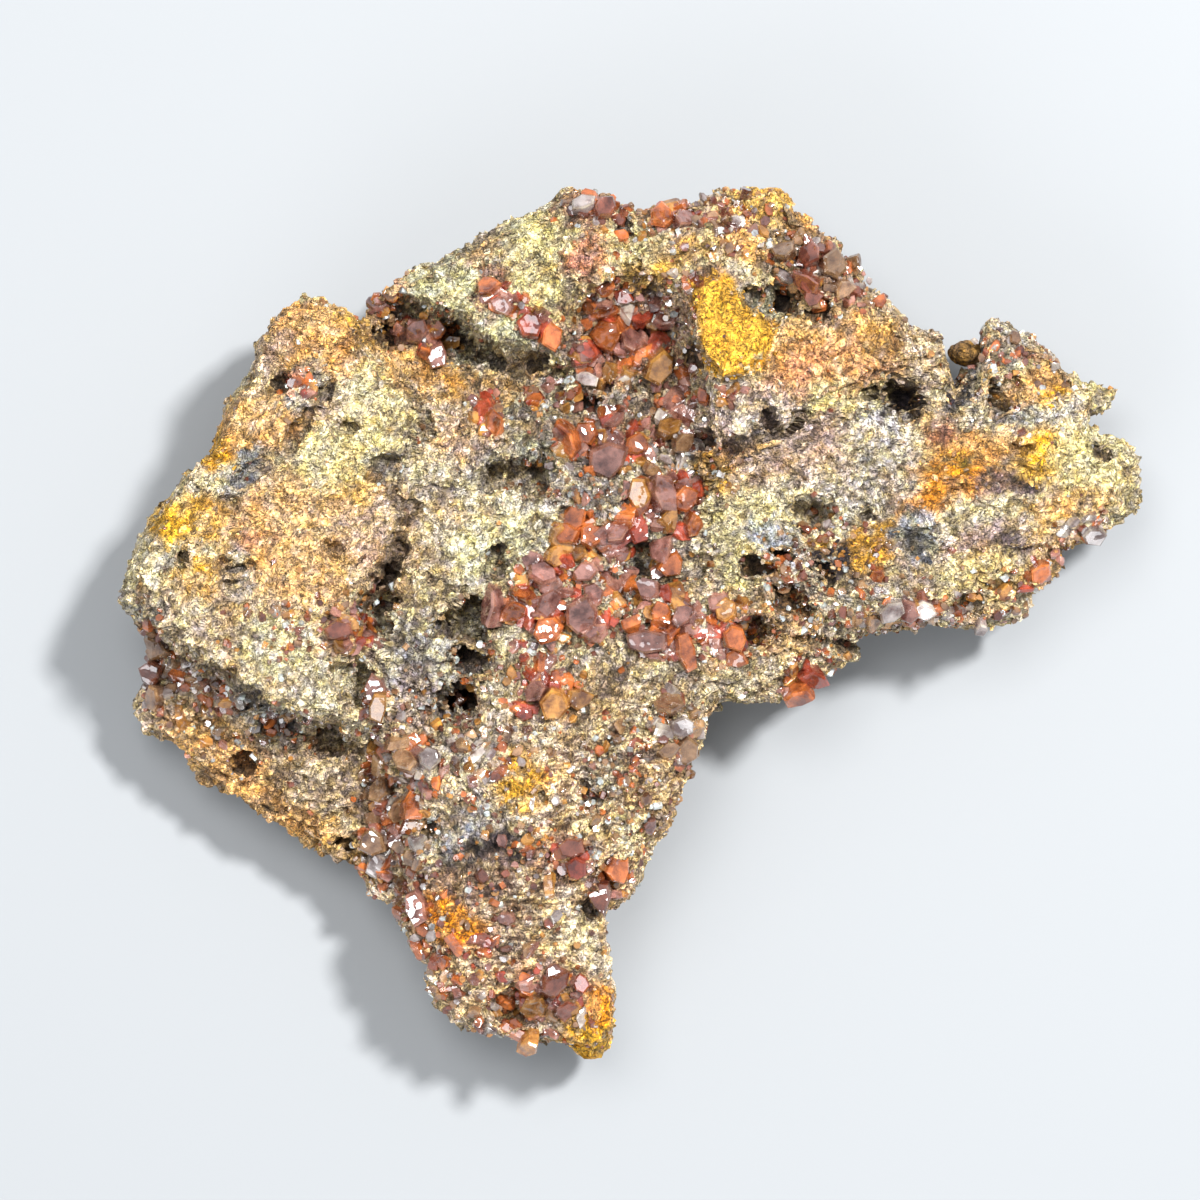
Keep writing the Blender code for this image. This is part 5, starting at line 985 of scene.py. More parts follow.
def random_turns(count, rng):
    """Rotation matrices spread evenly over all turns, from scattered unit quaternions."""
    w, x, y, z = rng.normal(size=(count, 4)).T
    size = np.sqrt(w * w + x * x + y * y + z * z)
    w, x, y, z = w / size, x / size, y / size, z / size
    return np.stack([
        np.stack([1 - 2 * (y * y + z * z), 2 * (x * y - w * z), 2 * (x * z + w * y)], axis=1),
        np.stack([2 * (x * y + w * z), 1 - 2 * (x * x + z * z), 2 * (y * z - w * x)], axis=1),
        np.stack([2 * (x * z - w * y), 2 * (y * z + w * x), 1 - 2 * (x * x + y * y)], axis=1)], axis=1)


def flake_turns(outward, rng):
    """Rotation matrices whose third axis points outward, each with its own turn about it."""
    third = unit(outward)
    first = unit(np.cross(rng.normal(size=third.shape), third))
    return np.stack([first, np.cross(third, first), third], axis=2)


def places_on(points, faces, weights, count, rng):
    """Scattered places on the faces, more where the weights are larger, with each one's normal and face."""
    across = face_normals(points, faces)
    size = np.linalg.norm(across, axis=1) * weights
    face = np.searchsorted(np.cumsum(size) / size.sum(), rng.random(count))
    p, q = rng.random(count), rng.random(count)
    over = p + q > 1
    p, q = np.where(over, 1 - p, p)[:, None], np.where(over, 1 - q, q)[:, None]
    first, second, third = points[faces[face]].transpose(1, 0, 2)
    return first + p * (second - first) + q * (third - first), unit(across[face]), face


def joined(shape, faces, centres, turns, sizes):
    """Copies of a shape, each with its own turn, three sizes and centre, as one set of points and faces."""
    points = np.einsum("nij,nvj->nvi", turns, shape * sizes[:, None, :]) + centres[:, None, :]
    steps = (np.arange(len(centres)) * shape.shape[-2])[:, None, None]
    return np.clip(points.reshape(-1, 3), LOW, HIGH), (faces[None] + steps).reshape(-1, faces.shape[1])


# ---- the crust's flakes ----

GRAIN_SEED = 11
CLEAR_OF_FOOT = 1.0                     # flakes and sparks keep this far over the resting face
FEWEST_ON_SIDES, SIDE_LIFT, LIFT_OVER = 0.25, 0.2, 0.8
BARE_FIBRES = 0.75                      # the share of the flakes that fibrous places do without
GRAIN_BIAS = 2.4                        # the larger, the more flakes are small
GRAIN_LEAST, GRAIN_MOST = (0.8, 0.5, 0.22), (1.3, 1.0, 0.50)     # its three sizes, as shares of its size
GRAIN_CORNERS = (0.70, 1.20)            # how far out its corners are, as shares of the same
GRAIN_DEPTH = (-0.10, 0.45)             # how far into the rock a flake's centre lies, as a share of its size
GRAIN_LIFT = 1.5                        # how high its centre is at least, as a share of its size
# Raising the relief number makes the painted crevice shade on the flakes lighter.
GRAIN_PROUD = 0.15                      # added to its relief number
COLOUR_BLUR = 0.45                      # how far off the colour may be taken
GRAIN_SHADES = (0.84, 1.20)
DARK_GRAINS, DARK_SHADE = 0.05, 0.35
PALE_GRAINS, PALE_SHARE, PALE_LIFT = 0.08, 0.3, 0.2


def grain_shape():
    """Corners and faces of a twenty-sided grain of radius 1, from the golden ratio."""
    gold = (1 + math.sqrt(5)) / 2
    corners = np.array([
        (-1, gold, 0), (1, gold, 0), (-1, -gold, 0), (1, -gold, 0), (0, -1, gold), (0, 1, gold),
        (0, -1, -gold), (0, 1, -gold), (gold, 0, -1), (gold, 0, 1), (-gold, 0, -1), (-gold, 0, 1)])
    faces = np.array([
        (0, 11, 5), (0, 5, 1), (0, 1, 7), (0, 7, 10), (0, 10, 11), (1, 5, 9), (5, 11, 4), (11, 10, 2),
        (10, 7, 6), (7, 1, 8), (3, 9, 4), (3, 4, 2), (3, 2, 6), (3, 6, 8), (3, 8, 9), (4, 9, 5),
        (2, 4, 11), (6, 2, 10), (8, 6, 7), (9, 8, 1)])
    return corners / np.linalg.norm(corners[0]), faces


def build_grains(points, faces, material, up, hollow, relief):
    """Flakes of rock all over it, each with the stain's colour where it lies, lighter or darker."""
    shape, sides = grain_shape()
    rng = np.random.default_rng(GRAIN_SEED)
    lift = smooth_step((up[faces].mean(axis=1) + SIDE_LIFT) / LIFT_OVER)
    lift = FEWEST_ON_SIDES + (1 - FEWEST_ON_SIDES) * lift
    fibrous = streak_at(points)[faces].mean(axis=1)
    weights = lift * (points[faces].mean(axis=1)[:, 2] > CLEAR_OF_FOOT) * (1 - BARE_FIBRES * fibrous)
    for index in range(GRAIN_PIECES):
        place, normal, face = places_on(points, faces, weights, GRAINS_EACH, rng)
        size = GRAIN_SMALL + (GRAIN_LARGE - GRAIN_SMALL) * rng.random(GRAINS_EACH) ** GRAIN_BIAS
        sizes = size[:, None] * rng.uniform(GRAIN_LEAST, GRAIN_MOST, (GRAINS_EACH, 3))
        turns = flake_turns(normal + FLAKE_TILT * rng.normal(size=normal.shape), rng)
        rough = shape[None] * rng.uniform(*GRAIN_CORNERS, (GRAINS_EACH, len(shape), 1))
        centre = place - normal * size[:, None] * rng.uniform(*GRAIN_DEPTH, (GRAINS_EACH, 1))
        centre[:, 2] = np.maximum(centre[:, 2], size * GRAIN_LIFT)
        colour = stain_at(place + rng.normal(0, COLOUR_BLUR, place.shape), normal[:, 2])
        shade = rng.uniform(*GRAIN_SHADES, (GRAINS_EACH, 1))
        dark = rng.random((GRAINS_EACH, 1)) < DARK_GRAINS
        pale = rng.random((GRAINS_EACH, 1)) < PALE_GRAINS
        colour = np.where(dark, colour * DARK_SHADE, colour * shade)
        washed = mixed(colour, colour.mean(axis=1, keepdims=True) + PALE_LIFT, PALE_SHARE)
        colour = np.where(pale & ~dark, washed, colour)
        corner, face_rows = joined(rough, sides, centre, turns, sizes)
        colours = {"stain": np.repeat(np.clip(colour, 0, 1), len(shape), axis=0)}
        values = {"hollow": np.repeat(hollow[faces[face]].mean(axis=1), len(shape)),
                  "relief": np.repeat(relief[faces[face]].mean(axis=1) + GRAIN_PROUD, len(shape))}
        new_piece(f"matrix_grains_{index + 1}", corner, [face_rows], material, "matrix",
                  colours, values)


# ---- crystals ----

# Rings of a crystal from its foot to its top: share of the half width, share of the height, and how
# near to an edge the ring is, which sets how strongly the painted edge glow brightens it.
LARGE_RINGS = [(0.80, -0.50, 0.4), (0.96, -0.38, 0.7), (1.0, -0.10, 0.2), (1.0, 0.26, 0.3),
               (0.96, 0.38, 1.0), (0.78, 0.48, 0.7)]
SMALL_RINGS = [(0.84, -0.50, 0.5), (1.0, -0.34, 0.7), (1.0, 0.36, 1.0), (0.82, 0.49, 0.6)]
SPARK_RINGS = [(1.0, -0.5, 0.5), (0.92, 0.48, 1.0)]
CRYSTAL_SIDES = 6
SEAT_POINTS = 14                        # how many of the rock's points a crystal's seat is the mean of
SIDE_REACH, TOP_SLOPE = (0.70, 1.16), 0.30
FOLLOW, FOLLOW_LIFT = 0.75, 0.45        # how far a small crystal leans with the rock that it stands on
CLUSTER_SINK, BED_SINK = 0.12, 0.34
TINT_SHADES = (0.65, 1.30)
CLUSTER_SEED, BED_SEED, SPARK_SEED = 100, 200, 300
BED_BIAS, SPARK_BIAS = 1.8, 1.6         # the larger, the more small ones there are
LYING, LYING_LEAN, STANDING_LEAN = 0.45, (50, 88), (0, 36)
BED_LENGTH, BED_THICKNESS, SPARK_LENGTH = (1.0, 1.45), (0.55, 1.7), (0.8, 2.2)
FEWEST_SPARKS, SPARK_REACH = 0.05, 1.9


def crystal_shape(rings):
    """Corners, faces and how near to an edge each corner is, of a closed prism with bevelled ends.

    Ring k has its corners at share_k of the half width and at height_k, at even bearings.
    """
    sides = CRYSTAL_SIDES
    bearing = (np.arange(sides) + 0.5) * 2 * math.pi / sides
    around = np.stack([np.cos(bearing), np.sin(bearing)], axis=1)
    body = np.concatenate([np.column_stack([around * wide, np.full(sides, tall)]) for wide, tall, _ in rings])
    corners = np.vstack([body, (0, 0, rings[0][1]), (0, 0, rings[-1][1])])
    edge = np.concatenate([np.repeat([near for *_, near in rings], sides), [0.0, 0.0]])
    return corners, triangles(*closed_tube(len(rings), sides)), edge


def turn_z(angle):
    c, s, o = np.cos(angle), np.sin(angle), np.zeros_like(angle)
    return np.stack([np.stack([c, -s, o], 1), np.stack([s, c, o], 1), np.stack([o, o, o + 1], 1)], 1)


def turn_y(angle):
    c, s, o = np.cos(angle), np.sin(angle), np.zeros_like(angle)
    return np.stack([np.stack([c, o, s], 1), np.stack([o, o + 1, o], 1), np.stack([-s, o, c], 1)], 1)


def lean_turns(turn, lean, bearing):
    """Turns a crystal on its axis, then leans that axis towards a bearing. Angles are in degrees."""
    turn, lean, bearing = np.radians(turn), np.radians(lean), np.radians(bearing)
    return turn_z(bearing) @ turn_y(lean) @ turn_z(-bearing) @ turn_z(turn)


def surface_under(places, points, normals):
    """Height and outward direction of the rock round each place on the plan: the mean of what is near."""
    heights, ways = [], []
    for place in places:
        near = np.argpartition(np.sum((points[:, :2] - place) ** 2, axis=1), SEAT_POINTS)[:SEAT_POINTS]
        heights.append(points[near, 2].mean())
        ways.append(normals[near].mean(axis=0))
    return np.array(heights), np.array(ways)


def crystal_mesh(crystals, rings, top, top_normals, rng, sink, follow):
    """Points, faces and numbers of a group of crystals, each standing on the rock.

    Each row holds a, b, length, width, thickness, turn, lean and bearing. Every side of a crystal lies
    a little nearer to its axis or farther from it, alike at both ends, and its top slopes a little.
    """
    count = len(crystals)
    places = off_sheet(crystals[:, 0], crystals[:, 1])
    heights, normal = surface_under(places, top, top_normals)
    shape, sides, edge = crystal_shape(rings)
    reach = np.ones((count, len(shape), 1))
    reach[:, :-2, 0] = np.tile(rng.uniform(*SIDE_REACH, (count, CRYSTAL_SIDES)), (1, len(rings)))
    uneven = np.repeat(shape[None], count, axis=0)
    uneven[:, :, :2] *= reach
    slope = rng.uniform(-TOP_SLOPE, TOP_SLOPE, (count, 1, 2))
    raised = smooth_step(shape[:, 2] * 2)[None, :, None]
    uneven[:, :, 2:] += np.sum(uneven[:, :, :2] * slope, axis=2, keepdims=True) * raised
    turns = lean_turns(crystals[:, 5], crystals[:, 6], crystals[:, 7])
    if follow:
        normal = unit(normal * FOLLOW + np.array((0, 0, FOLLOW_LIFT)))
        lean = np.degrees(np.arccos(np.clip(normal[:, 2], -1, 1)))
        heading = np.degrees(np.arctan2(normal[:, 1], normal[:, 0]))
        turns = lean_turns(np.zeros(count), lean, heading) @ turns
    sizes = np.stack([crystals[:, 2] / 2, crystals[:, 3] / 2, crystals[:, 4]], axis=1)
    centre = np.column_stack([places, heights + (STAND - sink) * crystals[:, 4]])
    points, faces = joined(uneven, sides, centre, turns, sizes)
    values = {"edge": np.tile(edge, count), "growth": np.tile(shape[:, 2], count)}
    return points, faces, values, len(shape)


def crystal_colours(tints, rng, corners):
    """Each crystal's tint, lighter or darker, laid on its corners."""
    tints = np.array(tints)
    tints = np.clip(tints * rng.uniform(*TINT_SHADES, (len(tints), 1)), 0, 1)
    return {"tint": np.repeat(tints, corners, axis=0)}


def build_clusters(top, top_normals, material):
    """Each cluster's crystals, in place of its solid."""
    for index, (name, (choice, crystals)) in enumerate(CLUSTERS.items()):
        rng = np.random.default_rng(CLUSTER_SEED + index)
        rows = np.array(crystals, float)
        rows = np.insert(rows, 4, THICKNESS * rows[:, 3], axis=1)
        points, faces, values, corners = crystal_mesh(
            rows, LARGE_RINGS, top, top_normals, rng, CLUSTER_SINK, False)
        tints = [choice[row % len(choice)] for row in range(len(rows))]
        new_piece(name + "_faceted", points, [faces], material, name,
                  crystal_colours(tints, rng, corners), values)


def bed_rows(beds, rng):
    """The crystals of a bed's ovals: scattered places, with sizes that are mostly small. Some stand
    and some lie on their sides."""
    rows, tints = [], []
    for a, b, half_length, half_width, turn, count, small, large, choice in beds:
        out, way = np.sqrt(rng.random(count)), rng.uniform(0, 2 * math.pi, count)
        length, width = out * np.cos(way) * half_length, out * np.sin(way) * half_width
        along = math.radians(turn)
        right = length * math.cos(along) + width * math.sin(along)
        down = -length * math.sin(along) + width * math.cos(along)
        wide = small + (large - small) * rng.random(count) ** BED_BIAS
        lies = rng.random(count) < LYING
        lean = np.where(lies, rng.uniform(*LYING_LEAN, count), rng.uniform(*STANDING_LEAN, count))
        bed = np.column_stack([
            a + right, b + down, wide * rng.uniform(*BED_LENGTH, count), wide,
            wide * rng.uniform(*BED_THICKNESS, count), rng.uniform(0, 180, count), lean,
            rng.uniform(0, 360, count)])
        kept = depth_inside(bed[:, 0], bed[:, 1], OUTLINE) > BED_MARGIN + wide / 2
        rows.append(bed[kept])
        tints.extend(np.array(choice)[rng.integers(0, len(choice), count)][kept])
    return np.vstack(rows), tints


def build_beds(top, top_normals, material):
    """Beds of small crystals between the clusters."""
    for index, (name, beds) in enumerate(BEDS.items()):
        rng = np.random.default_rng(BED_SEED + index)
        rows, tints = bed_rows(beds, rng)
        points, faces, values, corners = crystal_mesh(
            rows, SMALL_RINGS, top, top_normals, rng, BED_SINK, True)
        new_piece(name, points, [faces], material, None,
                  crystal_colours(tints, rng, corners), values)


def build_sparks(points, faces, material):
    """Tiny crystals scattered over the beds and their surroundings."""
    rng = np.random.default_rng(SPARK_SEED)
    middle = points[faces].mean(axis=1)
    a, b = on_sheet(middle)
    weights = np.full(len(faces), FEWEST_SPARKS)
    for beds in BEDS.values():
        for *place, _, _, _, _ in beds:
            weights = np.maximum(weights, smooth_step(SPARK_REACH - oval(a, b, *place)))
    weights = weights * (middle[:, 2] > CLEAR_OF_FOOT)
    place, _, _ = places_on(points, faces, weights, SPARK_COUNT, rng)
    size = SPARK_SMALL + (SPARK_LARGE - SPARK_SMALL) * rng.random(SPARK_COUNT) ** SPARK_BIAS
    shape, sides, edge = crystal_shape(SPARK_RINGS)
    turns = random_turns(SPARK_COUNT, rng)
    long = rng.uniform(*SPARK_LENGTH, SPARK_COUNT)
    sizes = size[:, None] * np.column_stack([np.ones((SPARK_COUNT, 2)), long])
    corner, rows = joined(np.repeat(shape[None], SPARK_COUNT, axis=0), sides, place, turns, sizes)
    # The white tints among them are painted glints.
    tints = np.array(SPARK_TINTS)[rng.integers(0, len(SPARK_TINTS), SPARK_COUNT)]
    values = {"edge": np.tile(edge, SPARK_COUNT), "growth": np.tile(shape[:, 2], SPARK_COUNT)}
    new_piece("crystal_sparks", corner, [rows], material, None,
              crystal_colours(tints, rng, len(shape)), values)


# ---- the lump in the notch ----

BRIDGE_ROWS, BRIDGE_COLUMNS = 60, 90
BRIDGE_KNOBS = [(1.1, 0.24), (0.5, 0.16)]
BRIDGE_SEED, BRIDGE_PATCH, BRIDGE_PATCH_SEED = 80, 1.4, 82
BRIDGE_OCHRE, BRIDGE_BROWN = np.array(OCHRE) * 0.62, np.array(BROWN) * 0.6


def build_notch_lump(material):
    """The fuzzy brown lump that bridges the notch: a ball of angles u and v, stretched and knobbly."""
    rise = np.linspace(-math.pi / 2, math.pi / 2, BRIDGE_ROWS + 1)[1:-1]
    turn = np.arange(BRIDGE_COLUMNS) * 2 * math.pi / BRIDGE_COLUMNS
    rise, turn = (grid.ravel() for grid in np.meshgrid(rise, turn, indexing="ij"))
    ball = np.column_stack([np.cos(rise) * np.cos(turn), np.cos(rise) * np.sin(turn), np.sin(rise)])
    ball = np.vstack([ball, (0, 0, -1), (0, 0, 1)])
    points = np.append(off_sheet(*BRIDGE_AT), BRIDGE_HEIGHT) + ball * np.array(BRIDGE_SIZE)
    relief = sum(tall * space_noise(points, wavelength, BRIDGE_SEED + seed)
                 for seed, (wavelength, tall) in enumerate(BRIDGE_KNOBS))
    points = points + ball * relief[:, None]
    shade = 0.5 + 0.5 * space_noise(points, BRIDGE_PATCH, BRIDGE_PATCH_SEED)
    new_piece("notch_lump", points, closed_tube(BRIDGE_ROWS - 1, BRIDGE_COLUMNS), material,
              "matrix", {"stain": mixed(BRIDGE_BROWN, BRIDGE_OCHRE, shade[:, None])},
              {"hollow": np.zeros(len(points)), "relief": relief})


# ---- finishes ----

# The rock's noises: scale in waves a metre, detail and roughness. The first two also have a distortion.
SEAM_NOISE, THREAD_NOISE = (820.0, 4.0, 0.6, 0.9), (2000.0, 3.0, 0.6, 0.8)
DRIFT_NOISE, RUST_NOISE, HUE_NOISE = (330.0, 3.0, 0.55), (240.0, 5.0, 0.65), (900.0, 4.0, 0.7)
STRAND_NOISE, STRAND_TURN, STRAND_SHRINK = (2000.0, 3.0, 0.6), -45, (0.16, 1.0, 1.0)
FLAKE_SCALE = 1500.0
BARE_ROCK = (0.62, 0.85)                # crust height where the rock starts and ends turning stained
RELIEF_IN_CRUST, STAIN_IN_BARE = 0.30, 0.30
RUST, RUST_FROM, RUST_TO = (0.98, 0.84, 0.66), 0.50, 0.66
# What the colour is multiplied by, in turn: how strongly, between which values, and the colours at those.
CRUST_LAYERS = {
    "hue": (1.0, 0.36, 0.64, (1.08, 0.99, 0.64), (1.03, 1.03, 1.28)),
    "flakes": (1.0, 0.0, 1.0, (0.68, 0.67, 0.66), (1.34, 1.34, 1.34)),
    "fluff": (1.0, 0.46, 0.68, (0.88, 0.88, 0.88), (1.56, 1.56, 1.50)),
    "seams": (0.92, 0.002, 0.028, (0.07, 0.055, 0.05), (1.0, 1.0, 1.0)),
    "threads": (0.85, 0.0, 0.042, (0.18, 0.15, 0.13), (1.12, 1.12, 1.12)),
    # Painted shade: darkens where the relief is low, in the crevices between the lumps.
    "crevices": (1.0, 0.15, 0.70, (1.0, 1.0, 1.0), (0.48, 0.44, 0.41)),
    # Painted shade: darkens deep in the holes, cracks and pits, by the hollow number.
    "holes": (1.0, 0.10, 0.75, (1.0, 1.0, 1.0), (0.22, 0.18, 0.165)),
}
STRAWS = (0.40, 0.60, (0.42, 0.33, 0.26), (1.60, 1.56, 1.40))
ROCK_SHEEN = (0.05, 0.25, (0.38, 0.38, 0.38), (0.85, 0.85, 0.85))
# Small relief: how far a winding line counts, how strongly it cuts in, and the depth in metres.
COARSE_RELIEF, FINE_RELIEF = (0.06, 5.0, 0.0009), (0.08, 3.0, 0.0003)
ROCK_SPECULAR = 0.4

CLOUD_NOISE, SWELL_NOISE = (560.0, 5.0, 0.65), (700.0, 1.2)
GROWTH_LINES = {"Scale": 26.0, "Detail": 2.0}
# The edge tint is a painted glow: it brightens each crystal's colour towards its edges.
EDGE_FROM, EDGE_TO, EDGE_GLOW_TINT = 0.6, 1.0, (1.35, 1.40, 1.20)
# The cloud ramp is partly cloudiness inside the crystal and partly a painted sheen: its pale blue-white end
# stands for reflected sky.
CLOUD_AND_PAINTED_SHEEN = (0.36, 0.66, (0.34, 0.25, 0.25), (1.60, 1.75, 1.85))
CRYSTAL_GLOSS = (0.45, 0.75, (0.04, 0.04, 0.04), (0.16, 0.16, 0.16))
SWELL_DEPTH, LINE_STRENGTH, LINE_DEPTH = 0.0003, 0.2, 0.0001
TRANSMISSION, IOR = 0.55, 2.2
ABSORPTION, ABSORPTION_DENSITY = (0.92, 0.50, 0.28), 220.0

FLOOR_COLOUR, FLOOR_ROUGHNESS = (0.285, 0.295, 0.305), 0.7


def new_finish(name):
    material = bpy.data.materials.new(name)
    material.use_nodes = True
    return material, material.node_tree, material.node_tree.nodes["Principled BSDF"]


def node(tree, kind, inputs=None, **settings):
    """A node with settings, whose inputs are numbers, colours or other nodes' outputs."""
    made = tree.nodes.new(kind)
    for key, value in settings.items():
        setattr(made, key, value)
    for key, value in (inputs or {}).items():
        if isinstance(value, bpy.types.NodeSocket):
            tree.links.new(value, made.inputs[key])
        else:
            made.inputs[key].default_value = value
    return made


def attribute(tree, name, output="Fac"):
    return node(tree, "ShaderNodeAttribute", attribute_name=name).outputs[output]


def noise(tree, place, scale, detail, roughness=0.5, distortion=0.0):
    return node(tree, "ShaderNodeTexNoise", {
        "Vector": place, "Scale": scale, "Detail": detail, "Roughness": roughness,
        "Distortion": distortion}).outputs["Fac"]


def ramp(tree, source, low, high, start=(0, 0, 0), end=(1, 1, 1)):
    """Turns low to high into start to end."""
    made = node(tree, "ShaderNodeValToRGB", {"Fac": source})
    made.color_ramp.elements[0].position, made.color_ramp.elements[1].position = low, high
    made.color_ramp.elements[0].color, made.color_ramp.elements[1].color = (*start, 1), (*end, 1)
    return made.outputs["Color"]


def blend_colour(tree, share, first, second, kind="MIX"):
    """The second colour laid on the first. Each is a colour or another node's output."""
    made = node(tree, "ShaderNodeMix", data_type="RGBA", blend_type=kind)
    for key, value in (("Factor", share), ("A", first), ("B", second)):
        socket = next(s for s in made.inputs if s.name == key and s.enabled and (
            s.type == "VALUE" if key == "Factor" else s.type == "RGBA"))
        if isinstance(value, bpy.types.NodeSocket):
            tree.links.new(value, socket)
        else:
            socket.default_value = value
    return next(s for s in made.outputs if s.enabled and s.type == "RGBA")


def maths(tree, operation, first, second=0.0):
    """The result of a sum, product or other operation on numbers or other nodes' outputs."""
    return node(tree, "ShaderNodeMath", {0: first, 1: second}, operation=operation).outputs["Value"]


def squiggles(tree, place, settings):
    """Distance from the winding line where a noise crosses its middle, and the noise itself."""
    found = noise(tree, place, *settings)
    return maths(tree, "ABSOLUTE", maths(tree, "SUBTRACT", found, 0.5)), found


def cut_height(tree, base, line, settings):
    """The height that a bump node reads, with the winding lines cut in, and the node's other inputs."""
    widest, strength, depth = settings
    cut = maths(tree, "MULTIPLY", maths(tree, "MINIMUM", line, widest), strength)
    return {"Height": maths(tree, "ADD", base, cut), "Strength": 1.0, "Distance": depth}


def rock_finish():
    """Iron-stained earthy rock. A crust in the stain's colour lies on mauve-grey rock, and is cut by
    winding brown seams. The crevices and holes are darkened with painted shade."""
    material, tree, shader = new_finish("matrix_rock_finish")
    place = node(tree, "ShaderNodeTexCoord").outputs["Object"]
    stain, relief = attribute(tree, "stain", "Color"), attribute(tree, "relief")
    seam, crust = squiggles(tree, place, SEAM_NOISE)
    thread, fluff = squiggles(tree, place, THREAD_NOISE)
    flakes = node(tree, "ShaderNodeTexVoronoi", {"Vector": place, "Scale": FLAKE_SCALE}, feature="F1")
    high = maths(tree, "ADD", crust, noise(tree, place, *DRIFT_NOISE))
    high = maths(tree, "ADD", maths(tree, "MULTIPLY", relief, RELIEF_IN_CRUST), high)
    under = blend_colour(tree, 1.0, (*MAUVE_GREY, 1), stain, "DARKEN")
    under = blend_colour(tree, STAIN_IN_BARE, under, stain)
    colour = blend_colour(tree, ramp(tree, high, *BARE_ROCK), under, stain)
    rust = ramp(tree, noise(tree, place, *RUST_NOISE), RUST_FROM, RUST_TO)
    colour = blend_colour(tree, rust, colour, (*RUST, 1), "MULTIPLY")
    sources = {
        "hue": noise(tree, place, *HUE_NOISE), "flakes": flakes.outputs["Color"], "fluff": fluff,
        # The crevices and holes layers paint shade into the colour.
        "seams": seam, "threads": thread, "crevices": maths(tree, "MULTIPLY", relief, -1.0),
        "holes": attribute(tree, "hollow")}
    for name, (share, *ends) in CRUST_LAYERS.items():
        colour = blend_colour(tree, share, colour, ramp(tree, sources[name], *ends), "MULTIPLY")
    along = node(tree, "ShaderNodeMapping", {
        "Vector": place, "Rotation": (0, 0, math.radians(STRAND_TURN)), "Scale": STRAND_SHRINK})
    straws = ramp(tree, noise(tree, along.outputs["Vector"], *STRAND_NOISE), *STRAWS)
    straws = blend_colour(tree, 1.0, colour, straws, "MULTIPLY")
    colour = blend_colour(tree, attribute(tree, "streak"), colour, straws)
    tree.links.new(colour, shader.inputs["Base Color"])
    tree.links.new(ramp(tree, flakes.outputs["Color"], *ROCK_SHEEN), shader.inputs["Roughness"])
    coarse = node(tree, "ShaderNodeBump", cut_height(tree, crust, seam, COARSE_RELIEF))
    fine = node(tree, "ShaderNodeBump", {
        **cut_height(tree, fluff, thread, FINE_RELIEF), "Normal": coarse.outputs["Normal"]})
    tree.links.new(fine.outputs["Normal"], shader.inputs["Normal"])
    shader.inputs["Specular IOR Level"].default_value = ROCK_SPECULAR
    return material


def crystal_finish():
    """Clear red-brown crystal: cloudy inside with a painted pale sheen, a painted glow that brightens it at
    its edges, and faces that aren't quite flat.
    """
    material, tree, shader = new_finish("crystal_finish")
    place = node(tree, "ShaderNodeTexCoord").outputs["Object"]
    cloud = noise(tree, place, *CLOUD_NOISE)
    lines = node(tree, "ShaderNodeTexNoise", {"W": attribute(tree, "growth"), **GROWTH_LINES},
                 noise_dimensions="1D")
    # The edge glow and the cloud's pale blue-white sheen are painted light in the crystal's colour.
    edge = ramp(tree, attribute(tree, "edge"), EDGE_FROM, EDGE_TO)
    edge_glow_colour = blend_colour(tree, edge, attribute(tree, "tint", "Color"), (*EDGE_GLOW_TINT, 1), "MULTIPLY")
    colour = blend_colour(tree, 1.0, edge_glow_colour, ramp(tree, cloud, *CLOUD_AND_PAINTED_SHEEN), "MULTIPLY")
    tree.links.new(colour, shader.inputs["Base Color"])
    tree.links.new(ramp(tree, cloud, *CRYSTAL_GLOSS), shader.inputs["Roughness"])
    swell = node(tree, "ShaderNodeBump", {
        "Height": noise(tree, place, *SWELL_NOISE), "Strength": 1.0, "Distance": SWELL_DEPTH})
    fine = node(tree, "ShaderNodeBump", {
        "Height": lines.outputs["Fac"], "Strength": LINE_STRENGTH, "Distance": LINE_DEPTH,
        "Normal": swell.outputs["Normal"]})
    tree.links.new(fine.outputs["Normal"], shader.inputs["Normal"])
    shader.inputs["Transmission Weight"].default_value = TRANSMISSION
    shader.inputs["IOR"].default_value = IOR
    depth = node(tree, "ShaderNodeVolumeAbsorption", {
        "Color": (*ABSORPTION, 1), "Density": ABSORPTION_DENSITY})
    tree.links.new(depth.outputs["Volume"], tree.nodes["Material Output"].inputs["Volume"])
    return material


def floor_finish():
    material, _, shader = new_finish("floor_finish")
    shader.inputs["Base Color"].default_value = (*FLOOR_COLOUR, 1)
    shader.inputs["Roughness"].default_value = FLOOR_ROUGHNESS
    return material


# ---- the studio ----

VIEW_CENTRE = (60.0, 60.0)
VIEW_LEVEL = 24.0
VIEW_DISTANCE = 600.0
VIEW_WIDTH = 120.0
SENSOR = 36.0
CLIP_START, CLIP_END = 0.01, 10.0       # metres
# Square lights that look at the specimen: bearing and height in degrees, distance and size in metres,
# power and colour.
LIGHTS = {
    "key_light": (40, 62, 0.9, 0.09, 14.0, (1.0, 1.0, 1.0)),
    "overhead_light": (120, 74, 1.1, 0.4, 7.0, (1.0, 1.0, 1.0)),
    "side_light": (235, 35, 1.2, 0.8, 6.5, (0.95, 0.97, 1.0)),
}
LIGHTS_LOOK_AT = 0.012
SKY_COLOUR, SKY_STRENGTH = (0.9, 0.95, 1.0, 1), 0.62
FLOOR_HALF = 3.0


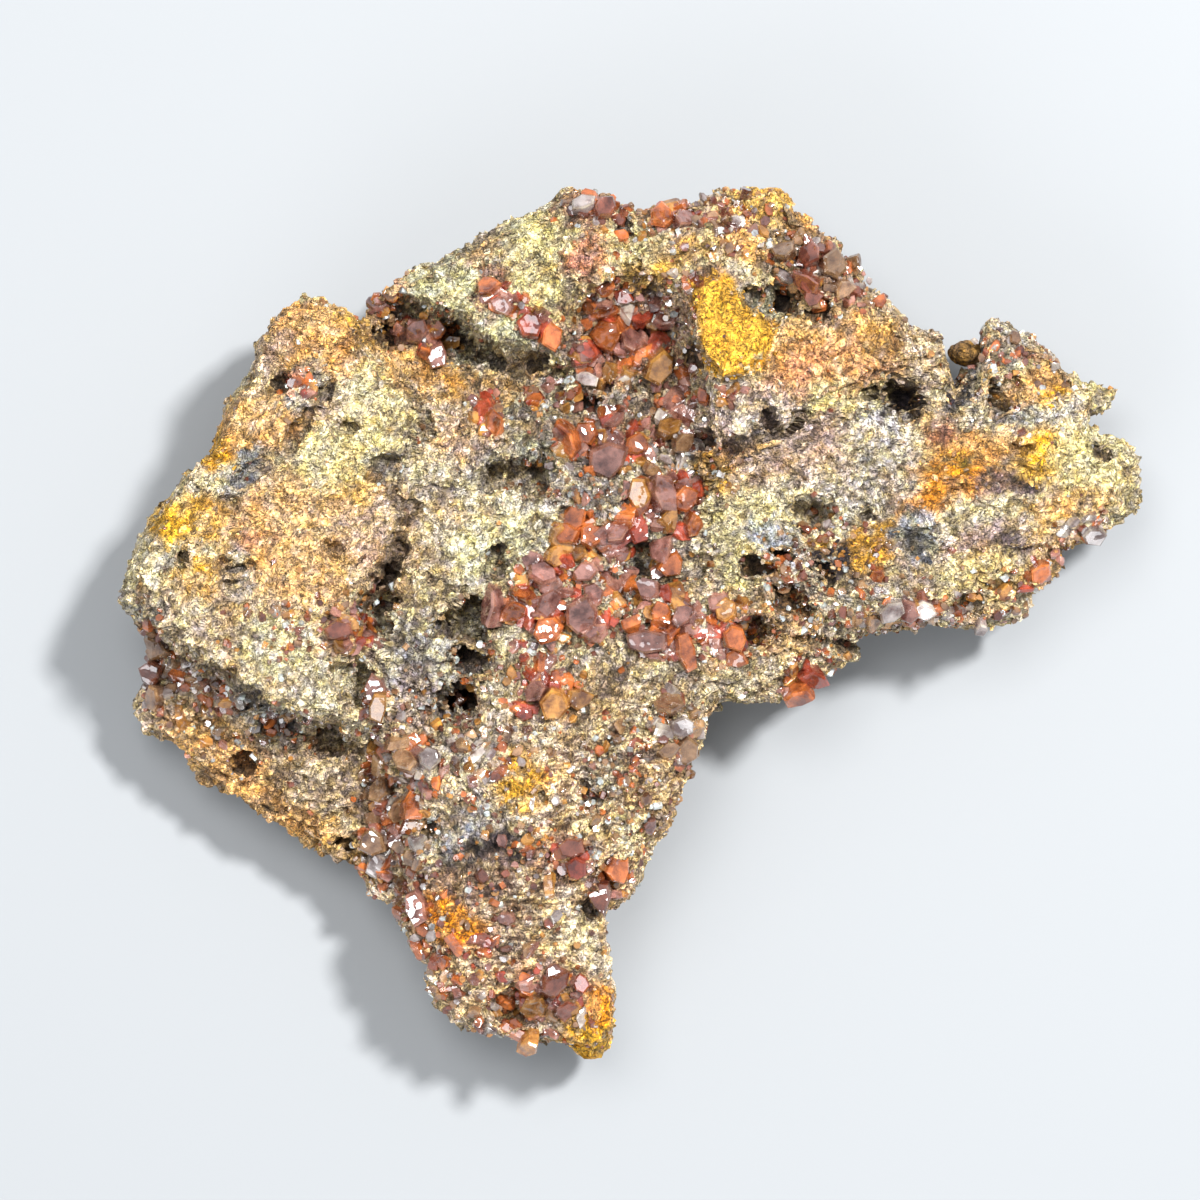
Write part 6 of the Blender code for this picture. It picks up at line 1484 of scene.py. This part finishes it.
def build_camera():
    camera = bpy.data.objects.new("camera", bpy.data.cameras.new("camera"))
    camera.data.sensor_width = SENSOR
    camera.data.lens = SENSOR * VIEW_DISTANCE / VIEW_WIDTH
    camera.data.clip_start, camera.data.clip_end = CLIP_START, CLIP_END
    camera.location = np.append(off_sheet(*VIEW_CENTRE), VIEW_LEVEL + VIEW_DISTANCE) * MM
    bpy.context.scene.collection.objects.link(camera)
    bpy.context.scene.camera = camera


def build_lights():
    for name, (bearing, height, distance, size, power, colour) in LIGHTS.items():
        light = bpy.data.objects.new(name, bpy.data.lights.new(name, "AREA"))
        light.data.size = size
        light.data.energy = power
        light.data.color = colour
        way, rise = math.radians(bearing), math.radians(height)
        light.location = (
            distance * math.cos(way) * math.cos(rise), distance * math.sin(way) * math.cos(rise),
            distance * math.sin(rise) + LIGHTS_LOOK_AT)
        light.rotation_euler = (math.pi / 2 - rise, 0.0, way + math.pi / 2)
        bpy.context.scene.collection.objects.link(light)


def build_studio():
    world = bpy.data.worlds.new("studio")
    world.use_nodes = True
    world.node_tree.nodes["Background"].inputs["Color"].default_value = SKY_COLOUR
    world.node_tree.nodes["Background"].inputs["Strength"].default_value = SKY_STRENGTH
    bpy.context.scene.world = world
    bpy.context.scene.view_settings.view_transform = "Standard"
    mesh = bpy.data.meshes.new("floor")
    corners = [(-1, -1), (1, -1), (1, 1), (-1, 1)]
    mesh.from_pydata([(x * FLOOR_HALF, y * FLOOR_HALF, 0) for x, y in corners], [], [(0, 1, 2, 3)])
    mesh.materials.append(floor_finish())
    floor = bpy.data.objects.new("floor", mesh)
    bpy.context.scene.collection.objects.link(floor)


rock = rock_finish()
crystal = crystal_finish()
rock_mm, rock_quads, rock_under, rock_faces, rock_hollow, rock_relief = shape_rock()
rock_normals = point_normals(rock_mm, rock_faces)
new_piece(
    "matrix_rock", rock_mm, [rock_quads, rock_under], rock, "matrix",
    {"stain": stain_at(rock_mm, rock_normals[:, 2])},
    {"hollow": rock_hollow, "relief": rock_relief, "streak": streak_at(rock_mm)})
build_grains(rock_mm, rock_faces, rock, rock_normals[:, 2], rock_hollow, rock_relief)
build_notch_lump(rock)
top_count = (TOP_CELLS + 1) ** 2
build_clusters(rock_mm[:top_count], rock_normals[:top_count], crystal)
build_beds(rock_mm[:top_count], rock_normals[:top_count], crystal)
build_sparks(rock_mm, rock_faces, crystal)
build_camera()
build_lights()
build_studio()
